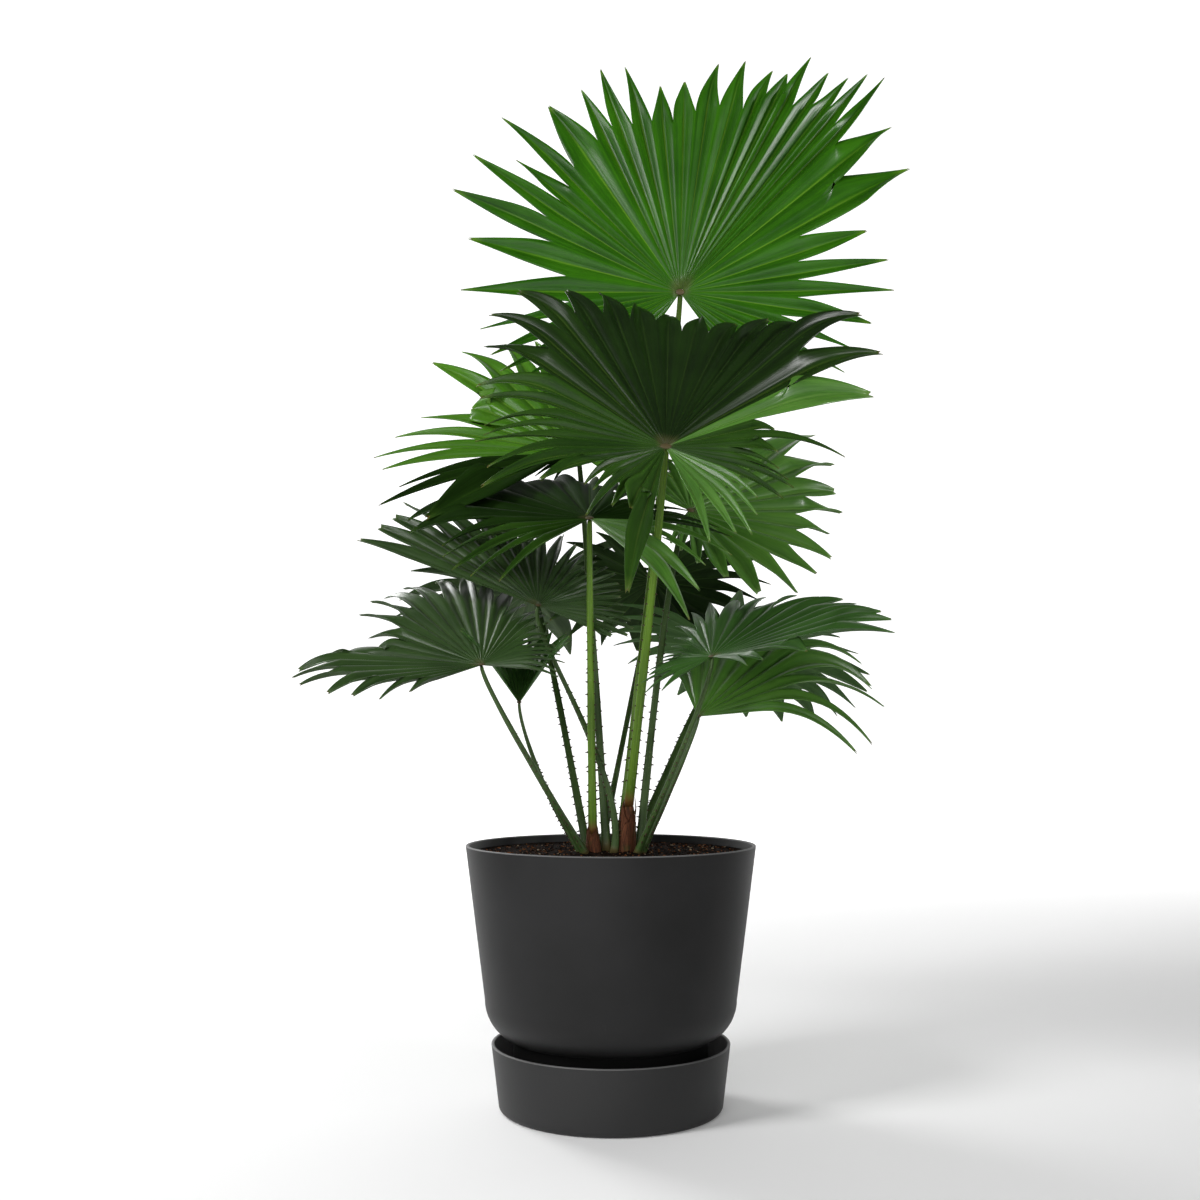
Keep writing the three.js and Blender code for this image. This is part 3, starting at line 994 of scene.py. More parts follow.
@dataclass(frozen=True)
class Soil:
    """The potting soil, in millimetres."""

    top = 251.0
    clearance: float = 0.4
    steps: int = 150
    rings: int = 64
    settled: float = 0.8
    bump: float = 1.7
    lump: float = 9.0
    grain: float = 3.5
    mound: float = 3.5
    mound_reach: float = 24.0
    crumbs: int = 2600
    crumb_size: float = 0.5
    crumb_growth: float = 1.5
    crumb_edge: float = 3.0

    def height(self, x: float, y: float) -> float:
        """The soil's height at a place, all in millimetres.

        Args:
            x: Across.
            y: Away.

        Returns:
            The height of its uneven surface.
        """
        lumps = noise.noise(Vector((x, y, 0.0)) / self.lump)
        lumps += 0.6 * noise.noise(Vector((x, y, 40.0)) / self.grain)
        near = min((Vector((x, y)) - Vector((stem.x, stem.y))).length for stem in STEMS.values())
        mound = self.mound * math.exp(-((near / self.mound_reach) ** 2))
        return self.top - self.settled + self.bump * lumps + mound

    def build(self, pot: Pot) -> None:
        """Makes the soil and its loose crumbs.

        Args:
            pot: The pot that it fills.
        """
        piece = Piece("soil_filling", "soil", ("soil",))
        piece.use(EarthFinish("potting_soil", screen(9, 6, 4), screen(44, 29, 21)))
        side = pot.line(pot.wall + self.clearance)[:-1]
        edge = pot.radius_at(self.top) - pot.wall - self.clearance
        flat = [outline(edge * ring / self.rings, self.top) for ring in range(self.rings, -1, -1)]
        piece.turned([outline(0.0, side[0].z), *side, *flat], self.steps)
        for vert in piece.shape.verts:
            if vert.co.z > (self.top - 0.1) * MM and vert.co.xy.length < (edge - 0.5) * MM:
                vert.co.z = self.height(vert.co.x / MM, vert.co.y / MM) * MM
        piece.close()
        self.scatter(edge)

    def scatter(self, edge: float) -> None:
        """Strews crumbs of three kinds over the soil.

        Args:
            edge: The soil's radius in millimetres.
        """
        piece = Piece("soil_crumbs", "soil")
        kinds = [
            (0.6, EarthFinish("bark_crumb", screen(15, 9, 6), screen(60, 40, 28), 500.0)),
            (0.94, EarthFinish("red_crumb", screen(92, 56, 34), screen(142, 96, 62), 500.0)),
            (1.0, EarthFinish("pale_crumb", screen(140, 122, 100), screen(186, 172, 150), 500.0)),
        ]
        chance = random.Random(31)
        for _ in range(self.crumbs):
            reach = (edge - self.crumb_edge) * math.sqrt(chance.random())
            x, y = reach * compass(chance.uniform(0.0, 2.0 * math.pi)).xy
            size = self.crumb_size + self.crumb_growth * chance.random() ** 2.2
            spot = Matrix.Translation(Vector((x, y, self.height(x, y) + 0.25 * size)) * MM)
            turn = Matrix.Rotation(chance.uniform(0.0, math.pi), 4, "Z")
            tilt = Matrix.Rotation(chance.random(), 4, "X")
            shape = Matrix.Diagonal(Vector((1.0, 0.45 + 0.5 * chance.random(), 0.5, 1.0)))
            draw = chance.random()
            kind = next(finish for share, finish in kinds if draw <= share)
            made = bmesh.ops.create_icosphere(
                piece.shape, subdivisions=1, radius=size * MM, matrix=spot @ turn @ tilt @ shape
            )
            piece.paint(made["verts"], kind)
        piece.close(smooth=False)


@dataclass(frozen=True)
class Leaf:
    """One leaf, stalk and blade, in millimetres and degrees.

    The blade's angles are measured in its own plane from its right-hand side. At some of them, spans
    says how long the segments are, and lifts how many degrees they rise from the plane. Where folds
    names the angles of some folds by number, they don't lie evenly. The segments between two angles
    in patches have a tint of their own, which paints light or shade onto that part of the blade.
    """

    name: str
    hub: tuple[float, float, float]
    yaw: float
    pitch: float
    sinus: float
    opening: float
    spans: Pairs
    split_far: float
    split_near: float
    whole: float
    droop: float
    segments: int
    stem: Side
    foot_radius: float
    top_radius: float
    tint: Tint
    bearing: float | None = None
    lifts: Pairs = ((0, 0),)
    lean: tuple[float, float] = (0.0, 0.0)
    blunt: float = 0.04
    sunlit: bool = False
    folds: Pairs = ()
    patches: tuple[tuple[float, float, Tint], ...] = ()

    def axes(self) -> tuple[Vector, Vector, Vector]:
        """Turns the blade's plane by its yaw and pitch.

        Returns:
            The directions of its upper side, its right-hand side and its far side.
        """
        yaw = math.radians(self.yaw)
        pitch = math.radians(self.pitch)
        level = math.cos(pitch)
        normal = Vector((math.sin(yaw) * level, -math.cos(yaw) * level, math.sin(pitch)))
        right = compass(yaw)
        return normal, right, normal.cross(right)

    def around(self, angle: float) -> Vector:
        """A direction in the blade's plane at an angle in radians."""
        _, right, far = self.axes()
        return right * math.cos(angle) + far * math.sin(angle)

    def reach(self) -> float:
        """The longest segment's length."""
        return max(length for _, length in self.spans)

    def pleat(self) -> float:
        """The angle from one fold to the next in radians, where they lie evenly."""
        return math.radians(360.0 - 2.0 * self.opening) / self.segments

    def fold(self, number: float) -> float:
        """Finds a fold, or a rib halfway between two.

        Args:
            number: The fold's number, from the first edge.

        Returns:
            Its angle in radians.
        """
        if self.folds:
            return math.radians(value_at(self.folds, number))
        return math.radians(self.spans[0][0]) + number * self.pleat()

    def tint_at(self, angle: float) -> Tint:
        """Finds the tint of a segment.

        Args:
            angle: The segment's angle in radians.

        Returns:
            The patch's tint, or else the leaf's.
        """
        side = math.degrees(angle)
        named = (tint for start, end, tint in self.patches if start <= side < end)
        return next(named, self.tint)

    def split_at(self, angle: float) -> float:
        """How far from its hub the blade is whole at an angle in radians."""
        whole = ((1.0 + math.cos(angle - math.radians(self.whole))) / 2.0) ** SPLIT_FOCUS
        return read_at(self.spans, angle) * between(self.split_near, self.split_far, whole)

    def draws(self) -> Iterator[float]:
        """Draws the leaf's own repeatable numbers.

        Returns:
            An endless run of numbers from 0 to 1.
        """
        state = int(self.reach()) * DRAW_SEED + self.segments
        while True:
            state = (state * DRAW_FACTOR + DRAW_STEP) % DRAW_RANGE
            yield state / DRAW_RANGE

    def foot(self) -> Vector:
        """Finds where the stalk leaves the soil or its stem.

        Returns:
            The point in millimetres.
        """
        stem = STEMS[self.stem]
        if self.bearing is None:
            return stem.axis(1.0) + UP * CLEAR
        ring = stem.foot_radius + self.foot_radius + RING_GAP
        return Vector((stem.x, stem.y, Soil.top + CLEAR)) + compass(math.radians(self.bearing)) * ring

    def path(self) -> tuple[Vector, Vector, Vector, Vector]:
        """Lays out the stalk's curve.

        Returns:
            Its foot, its two handles and its top.
        """
        normal = self.axes()[0]
        foot = self.foot()
        top = Vector(self.hub) - normal * (CLEAR + self.reach() * BLADE_THINNESS)
        hook = top + (self.around(math.radians(self.sinus)) - normal) * STALK_HOOK
        risen = foot.lerp(hook, STALK_FOOT_RISE) + Vector((*self.lean, 0.0))
        return foot, risen, hook, top

    def along(self, share: float) -> tuple[Vector, Vector]:
        """The stalk's middle and its direction at a share of its curve.

        Args:
            share: 0 at the foot and 1 at the top.

        Returns:
            The point and the unit tangent.
        """
        foot, risen, hook, top = self.path()
        rest = 1.0 - share
        point = foot * rest**3 + risen * 3 * rest**2 * share + hook * 3 * rest * share**2 + top * share**3
        heading = (risen - foot) * rest**2 + (hook - risen) * 2 * rest * share + (top - hook) * share**2
        return point, heading.normalized()


CLEAR = 0.3
LIP_BEVEL = 1.1
RING_GAP = 2.0
CORE_INSET = 0.9
CORE_WAVE = 0.05
WRAPS = 5
SHEATH_START = -60.0
SHEATH_STEP = 137.5
SHEATH_HALF = 112.0
SHEATH_SKIN = 0.4
SHEATH_LAYER = 0.09
SHEATH_WAVE = 0.25
SHEATH_TEAR = 0.3
SHORTEST_SHEATH = 0.7
SHEATH_RISE = 13.0
SHEATH_CLASP = 0.13
STALK_HOOK = 18.2
STALK_FOOT_RISE = 0.34
BLADE_THINNESS = 0.0105
PLEAT_DEPTH = 0.2
LENGTH_JITTER = 0.07
SPLIT_JITTER = 0.05
TURN_JITTER = 0.1
SPLIT_FOCUS = 4
DRAW_SEED = 1009
DRAW_FACTOR = 1664525
DRAW_STEP = 1013904223
DRAW_RANGE = 2**32

STEMS = {
    Side.RIGHT: Stem(Side.RIGHT, 15.0, -16.0, 9.5, 7.2, 46.0, 3.0),
    Side.LEFT: Stem(Side.LEFT, -17.0, -20.0, 7.5, 6.0, 18.0, -1.0),
}

LEAVES = (
    Leaf(
        "top", hub=(79, 110, 868), yaw=-4, pitch=14, sinus=270, opening=30, segments=39,
        spans=(
            (-60, 190), (-15, 230), (5, 249), (17, 224), (23, 224), (26, 305), (42, 323), (46, 361),
            (57, 348), (70, 317), (84, 300), (95, 267), (98, 300), (104, 311), (122, 305), (131, 317),
            (137, 267), (143, 300), (150, 317), (166, 267), (181, 255), (240, 205),
        ),
        lifts=((0, 5),),
        folds=(
            (0, -60), (5, -20), (6, -8.5), (8, 11.5), (9, 23.5), (10, 34.5), (11, 44), (18, 72),
            (22, 98.5), (25, 116.5), (26, 128), (28, 140.5), (30, 158), (32, 188), (39, 240),
        ),
        split_far=0.8, split_near=0.5, whole=76, droop=0.06,
        stem=Side.RIGHT, bearing=108, foot_radius=5.2, top_radius=2.9, tint=Tint.LIT,
        sunlit=True,
    ),
    Leaf(
        "front", hub=(53, -115, 644), yaw=6, pitch=44, sinus=268, opening=10, segments=40,
        spans=(
            (-82, 150), (-62, 150), (-45, 118), (-28, 140), (-12, 120), (-2, 105), (4, 190), (9, 190),
            (13, 110), (18, 120), (23, 235), (27, 235), (30, 292), (34, 292), (38, 285), (45, 290),
            (50, 250), (58, 250), (85, 250), (108, 270), (118, 285), (128, 262), (136, 240), (146, 208),
            (165, 190), (186, 190), (195, 192), (203, 140), (211, 105), (219, 105), (226, 138),
            (231, 138), (238, 108), (245, 110), (252, 220), (258, 225),
        ),
        lifts=(
            (0, 4), (20, 6), (27, 9), (32, 10), (41, 15), (48, 14), (60, 8), (80, 4), (100, 9),
            (125, 10), (145, 5), (220, 3),
        ),
        split_far=0.76, split_near=0.5, whole=85, droop=0.55,
        stem=Side.RIGHT, foot_radius=4.8, top_radius=3.3, tint=Tint.SHADED,
        blunt=0.1, sunlit=True,
        # The front leaf's patches paint light and shade: dark where the top leaf shades it, lighter where
        # light falls.
        patches=(
            (-82, -40, Tint.WELL_LIT),
            (-40, 20, Tint.SIDE_LIT),
            (20, 28, Tint.WELL_LIT),
            (28, 37, Tint.HALF_SHADED),
            (112, 137, Tint.HALF_SHADED),
            (137, 260, Tint.SIDE_LIT),
        ),
    ),
    Leaf(
        "upper_left", hub=(-36, 70, 676), yaw=-12, pitch=42, sinus=285, opening=26, segments=30,
        spans=(
            (-49, 115), (-20, 130), (30, 150), (60, 180), (90, 200), (120, 235), (136, 262), (147, 275),
            (151, 160), (158, 150), (162, 215), (170, 225), (182, 237), (192, 225), (203, 200),
            (212, 240), (222, 240), (227, 72), (259, 60),
        ),
        lifts=((0, 4), (120, 8), (180, 8), (215, 13), (240, 10)),
        split_far=0.58, split_near=0.44, whole=120, droop=0.3,
        stem=Side.LEFT, bearing=16, foot_radius=4.2, top_radius=2.5, tint=Tint.UNSHADED,
        # The upper left leaf's drooping far segments get painted shade.
        patches=(
            (200, 260, Tint.DEEP_SHADED),
        ),
    ),
    Leaf(
        "middle_left", hub=(-21, -42, 586), yaw=-6, pitch=62, sinus=270, opening=24, segments=24,
        spans=(
            (-66, 255), (-40, 160), (-20, 165), (10, 130), (40, 108), (64, 112), (80, 140), (100, 165),
            (115, 170), (128, 182), (145, 190), (164, 228), (184, 165), (246, 155),
        ),
        split_far=0.74, split_near=0.4, whole=130, droop=0.5,
        stem=Side.LEFT, foot_radius=4.5, top_radius=2.5, tint=Tint.DEEP_SHADED,
        sunlit=True,
        # The middle left leaf's patches paint light on the segments that stand in the light.
        patches=(
            (-66, -20, Tint.WELL_LIT),
            (196, 246, Tint.SIDE_LIT),
        ),
    ),
    Leaf(
        "middle_right", hub=(85, 40, 607), yaw=10, pitch=42, sinus=190, opening=42, segments=20,
        spans=(
            (-128, 60), (-100, 75), (-80, 110), (-65, 145), (-50, 168), (-30, 160), (-10, 155),
            (3, 172), (16, 186), (30, 222), (44, 246), (50, 235), (58, 190), (80, 140), (110, 110),
            (148, 95),
        ),
        split_far=0.71, split_near=0.5, whole=0, droop=0.3,
        stem=Side.RIGHT, bearing=30, foot_radius=4.2, top_radius=2.5, tint=Tint.WELL_LIT,
        blunt=0.2,
    ),
    Leaf(
        "high_left", hub=(-74, -10, 501), yaw=10, pitch=50, sinus=222, opening=83, segments=24,
        spans=((-42, 85), (-30, 108), (0, 92), (60, 120), (123, 235), (138, 222), (152, 212)),
        lifts=((0, 2),),
        split_far=0.73, split_near=0.49, whole=160, droop=0.15,
        stem=Side.RIGHT, bearing=217, foot_radius=3.6, top_radius=1.8, tint=Tint.DUSKY,
        lean=(48, 4), blunt=0.3,
    ),
    Leaf(
        "low_left", hub=(-127, -60, 438), yaw=-6, pitch=73, sinus=290, opening=50, segments=30,
        spans=(
            (-20, 85), (10, 85), (40, 80), (80, 150), (108, 235), (130, 215), (150, 175), (162, 115),
            (168, 120), (177, 185), (190, 190), (203, 180), (222, 135), (232, 112), (240, 80),
        ),
        lifts=(
            (-20, 0), (40, 20), (80, 20), (120, 19), (150, 15), (163, 10), (175, 4), (215, 1), (240, 0),
        ),
        split_far=0.74, split_near=0.51, whole=185, droop=0.5,
        stem=Side.LEFT, bearing=238, foot_radius=4.2, top_radius=1.9, tint=Tint.DUSKY,
        blunt=0.16,
    ),
    Leaf(
        "under_left", hub=(-93, -10, 402), yaw=0, pitch=50, sinus=270, opening=110, segments=16,
        spans=((20, 80), (60, 95), (90, 100), (120, 105), (160, 90)),
        lifts=((20, 58), (55, 28), (90, 8), (125, 28), (160, 58)),
        split_far=0.66, split_near=0.5, whole=100, droop=0.3,
        stem=Side.LEFT, bearing=196, foot_radius=3, top_radius=1.5, tint=Tint.BLUISH,
        lean=(-9, 0),
    ),
    Leaf(
        "low_right", hub=(99, -60, 446), yaw=-42, pitch=67, sinus=295, opening=32, segments=26,
        spans=(
            (-33, 90), (-15, 85), (-3, 130), (4, 205), (36, 175), (70, 160), (100, 150), (120, 125),
            (140, 105), (160, 62), (200, 58), (225, 70), (249, 92), (263, 60),
        ),
        lifts=((-33, 6), (60, 5), (100, 10), (130, 18), (160, 14), (220, 4), (263, -4)),
        split_far=0.7, split_near=0.5, whole=40, droop=0.35,
        stem=Side.RIGHT, bearing=-48, foot_radius=4, top_radius=1.9, tint=Tint.BLUISH,
    ),
    Leaf(
        "under_right", hub=(88, -20, 388), yaw=-12, pitch=62, sinus=252, opening=121, segments=10,
        spans=(
            (-6, 175), (6, 192), (18, 204), (30, 212), (42, 232), (52, 225), (62, 195), (90, 150),
            (112, 110),
        ),
        lifts=((-6, 6), (20, 10), (40, 12), (112, 8)),
        split_far=0.7, split_near=0.3, whole=85, droop=1.25,
        stem=Side.RIGHT, bearing=-10, foot_radius=4, top_radius=1.9, tint=Tint.WELL_LIT,
        blunt=0.1,
    ),
    Leaf(
        "back_left", hub=(-92, 182, 537), yaw=205, pitch=62, sinus=90, opening=26, segments=20,
        spans=((116, 150), (270, 190), (424, 150)),
        lifts=((0, 2),),
        split_far=0.68, split_near=0.5, whole=270, droop=0.35,
        stem=Side.LEFT, bearing=118, foot_radius=4.2, top_radius=2.3, tint=Tint.DUSKY,
    ),
    Leaf(
        "back_right", hub=(138, 190, 469), yaw=142, pitch=62, sinus=90, opening=26, segments=20,
        spans=((116, 150), (270, 190), (424, 150)),
        lifts=((0, 2),),
        split_far=0.68, split_near=0.5, whole=270, droop=0.35,
        stem=Side.RIGHT, bearing=66, foot_radius=4.2, top_radius=2.3, tint=Tint.BLUISH,
    ),
    Leaf(
        "back_low", hub=(50, 184, 547), yaw=180, pitch=60, sinus=90, opening=26, segments=18,
        spans=((116, 125), (270, 160), (424, 125)),
        lifts=((0, 2),),
        split_far=0.68, split_near=0.5, whole=270, droop=0.35,
        stem=Side.LEFT, bearing=64, foot_radius=4, top_radius=2.3, tint=Tint.DEEP_SHADED,
    ),
)


@dataclass
class Segment:
    """One folded segment of a blade, from the hub to its tip, in millimetres."""

    leaf: Leaf
    low: Vector
    high: Vector
    low_radius: float
    high_radius: float
    angle: float
    turned: float
    length: float
    droop: float
    twist: float
    swing: float

    def __post_init__(self) -> None:
        """Works out the rib's course and the segment's width."""
        self.normal = self.leaf.axes()[0]
        lift = math.radians(read_at(self.leaf.lifts, self.angle))
        self.hub = Vector(self.leaf.hub)
        self.start = self.leaf.around(self.turned) * math.cos(lift) + self.normal * math.sin(lift)
        self.across = self.leaf.around(self.turned + math.pi / 2)
        self.split = (self.low_radius + self.high_radius) / 2.0
        self.half = (self.low - self.high).length / 2.0
        self.sink = self.leaf.reach() * BLADE_THINNESS - LEAF_SKIN
        self.keel = self.hub + self.start * self.split
        self.course = self.bend()

    def bend(self) -> list[tuple[Vector, Vector]]:
        """Bends the free rib down by its own weight.

        Returns:
            Its points, each with the rib's heading there.
        """
        free = self.length - self.split
        point = self.keel.copy()
        course = [(point.copy(), self.start.copy())]
        for step in range(FREE_ROWS):
            share = (step + 0.5) / FREE_ROWS
            heading = self.start - UP * self.droop * share + self.across * self.swing * share
            heading.normalize()
            point += heading * (free / FREE_ROWS)
            course.append((point.copy(), heading))
        return course

    def width(self, share: float) -> float:
        """Half the free part's width at a share of its length."""
        return self.half * (1.0 - (1.0 - self.leaf.blunt) * share**TIP_TAPER)

    def rib(self, share: float) -> tuple[Vector, Vector]:
        """Reads the free rib.

        Args:
            share: 0 at the split and 1 at the tip.

        Returns:
            Its point and its heading.
        """
        spot = share * FREE_ROWS
        row = min(int(spot), FREE_ROWS - 1)
        (start, before), (end, after) = self.course[row:row + 2]
        return start.lerp(end, spot - row), before.lerp(after, spot - row)

    def side(self, share: float, hand: int) -> Vector:
        """Reads the free part's edge, twisted about the rib.

        Args:
            share: 0 at the split and 1 at the tip.
            hand: -1 for the lower edge and 1 for the higher.

        Returns:
            The edge's point.
        """
        point, heading = self.rib(share)
        heading.normalize()
        across = Matrix.Rotation(self.twist * share, 3, heading) @ self.across
        upper = heading.cross(across).normalized()
        width = self.width(share)
        return point + across * (hand * width) + upper * (2.0 * PLEAT_DEPTH * width)

    def point(self, across: float, along: float) -> Vector:
        """A point of the segment.

        Args:
            across: -1 at one edge, 0 on the rib and 1 at the other edge.
            along: 0 at the hub and 1 at the tip.

        Returns:
            The place in metres.
        """
        hand, edge = (-1, self.low) if across < 0.0 else (1, self.high)
        reach = abs(across)
        if along <= WHOLE_SHARE:
            share = between(HUB_SHARE, 1.0, along / WHOLE_SHARE)
            rib = self.hub.lerp(self.keel, share) - self.normal * self.sink * share
            rim = self.hub.lerp(edge, share)
            bulge = math.sin(math.pi * reach) * self.half * share * PANEL_BULGE
            return (rib.lerp(rim, reach) + self.normal * bulge) * MM
        share = (along - WHOLE_SHARE) / (1.0 - WHOLE_SHARE)
        share *= 1.0 - TIP_NOTCH * (1.0 - reach) * share**6
        rib = self.rib(share)[0] - self.normal * self.sink * (1.0 - share)
        near = max(0.0, 1.0 - share / RIM_FADE) ** RIM_EASE
        rim = self.side(share, hand) + (edge - self.side(0.0, hand)) * near
        bulge = math.sin(math.pi * reach) * self.width(share) * PANEL_BULGE
        return (rib.lerp(rim, reach) + self.normal * bulge) * MM


FREE_ROWS = 14
WHOLE_ROWS = 12
WHOLE_SHARE = WHOLE_ROWS / (WHOLE_ROWS + FREE_ROWS)
HUB_SHARE = 0.018
PANEL_BULGE = 0.09
TIP_NOTCH = 0.035
TIP_TAPER = 1.25
RIM_FADE = 0.45
RIM_EASE = 1.6
LEAST_DROOP = 0.7
MOST_DROOP = 1.3
TWIST = 0.9
SWING = 0.07
COLUMNS = 8


@dataclass
class Blade:
    """A leaf's pleated fan."""

    leaf: Leaf

    def segments(self) -> list[Segment]:
        """Cuts the fan into its segments by the leaf's own rule.

        Returns:
            The segments in the order of their angles.
        """
        leaf = self.leaf
        draws = leaf.draws()
        normal = leaf.axes()[0]
        pleat = leaf.pleat()
        ridges = []
        for index in range(leaf.segments + 1):
            angle = leaf.fold(index)
            lift = math.radians(read_at(leaf.lifts, angle))
            radius = leaf.split_at(angle) * (1.0 + SPLIT_JITTER * (2.0 * next(draws) - 1.0))
            rise = normal * (radius * (math.sin(lift) + PLEAT_DEPTH * pleat))
            ridges.append((Vector(leaf.hub) + leaf.around(angle) * radius * math.cos(lift) + rise, radius))
        moods = random.Random(leaf.name)
        made = []
        for index, (low, high) in enumerate(zip(ridges, ridges[1:])):
            angle = leaf.fold(index + 0.5)
            turned = angle + TURN_JITTER * pleat * (2.0 * next(draws) - 1.0)
            length = read_at(leaf.spans, angle) * (1.0 - LENGTH_JITTER * next(draws))
            droop = leaf.droop * between(LEAST_DROOP, MOST_DROOP, next(draws))
            twist = moods.uniform(-TWIST, TWIST)
            swing = moods.gauss(0.0, SWING)
            made.append(Segment(
                leaf, low[0], high[0], low[1], high[1], angle, turned, length, droop, twist, swing
            ))
        return made

    def build(self, others: list[Leaf]) -> None:
        """Makes the fan, open where other leaves' stalks pass through.

        Args:
            others: The plant's other leaves.
        """
        leaf = self.leaf
        piece = Piece(f"fan_{leaf.name}", "blade", (f"frond_{leaf.name}",))
        for index, segment in enumerate(self.segments()):
            tint = leaf.tint_at(segment.angle)
            upper = piece.use(tint.finish())
            piece.use(tint.underside())
            piece.strip(
                COLUMNS,
                WHOLE_ROWS + FREE_ROWS,
                segment.point,
                lambda across, along, lane=index: (lane + (across + 1.0) / 2.0, along),
                upper,
            )
        bmesh.ops.remove_doubles(piece.shape, verts=piece.shape.verts[:], dist=WELD)
        normal = leaf.axes()[0]
        turned_over = [face for face in piece.shape.faces if face.normal.dot(normal) < 0.0]
        if len(turned_over) > len(piece.shape.faces) / 2:
            bmesh.ops.reverse_faces(piece.shape, faces=piece.shape.faces[:])
        self.make_room(piece, others)
        piece.close(skin=LEAF_SKIN, other_side=1)

    def make_room(self, piece: Piece, others: list[Leaf]) -> None:
        """Takes out the faces that a stalk would run through.

        Args:
            piece: The fan.
            others: The leaves whose stalks may pass.
        """
        samples = []
        for leaf in others:
            for step in range(STALK_SAMPLES + 1):
                share = step / STALK_SAMPLES
                radius = between(leaf.foot_radius, leaf.top_radius, share)
                samples.append((leaf.along(share)[0] * MM, radius * MM))
        tree = KDTree(len(samples))
        for index, (spot, _) in enumerate(samples):
            tree.insert(spot, index)
        tree.balance()
        hit = []
        for vert in piece.shape.verts:
            _, index, distance = tree.find(vert.co)
            if distance < samples[index][1] + STALK_ROOM * MM:
                hit.append(vert)
        bmesh.ops.delete(piece.shape, geom=hit, context="VERTS")


LEAF_SKIN = 0.7
STALK_SAMPLES = 120
STALK_ROOM = 1.2


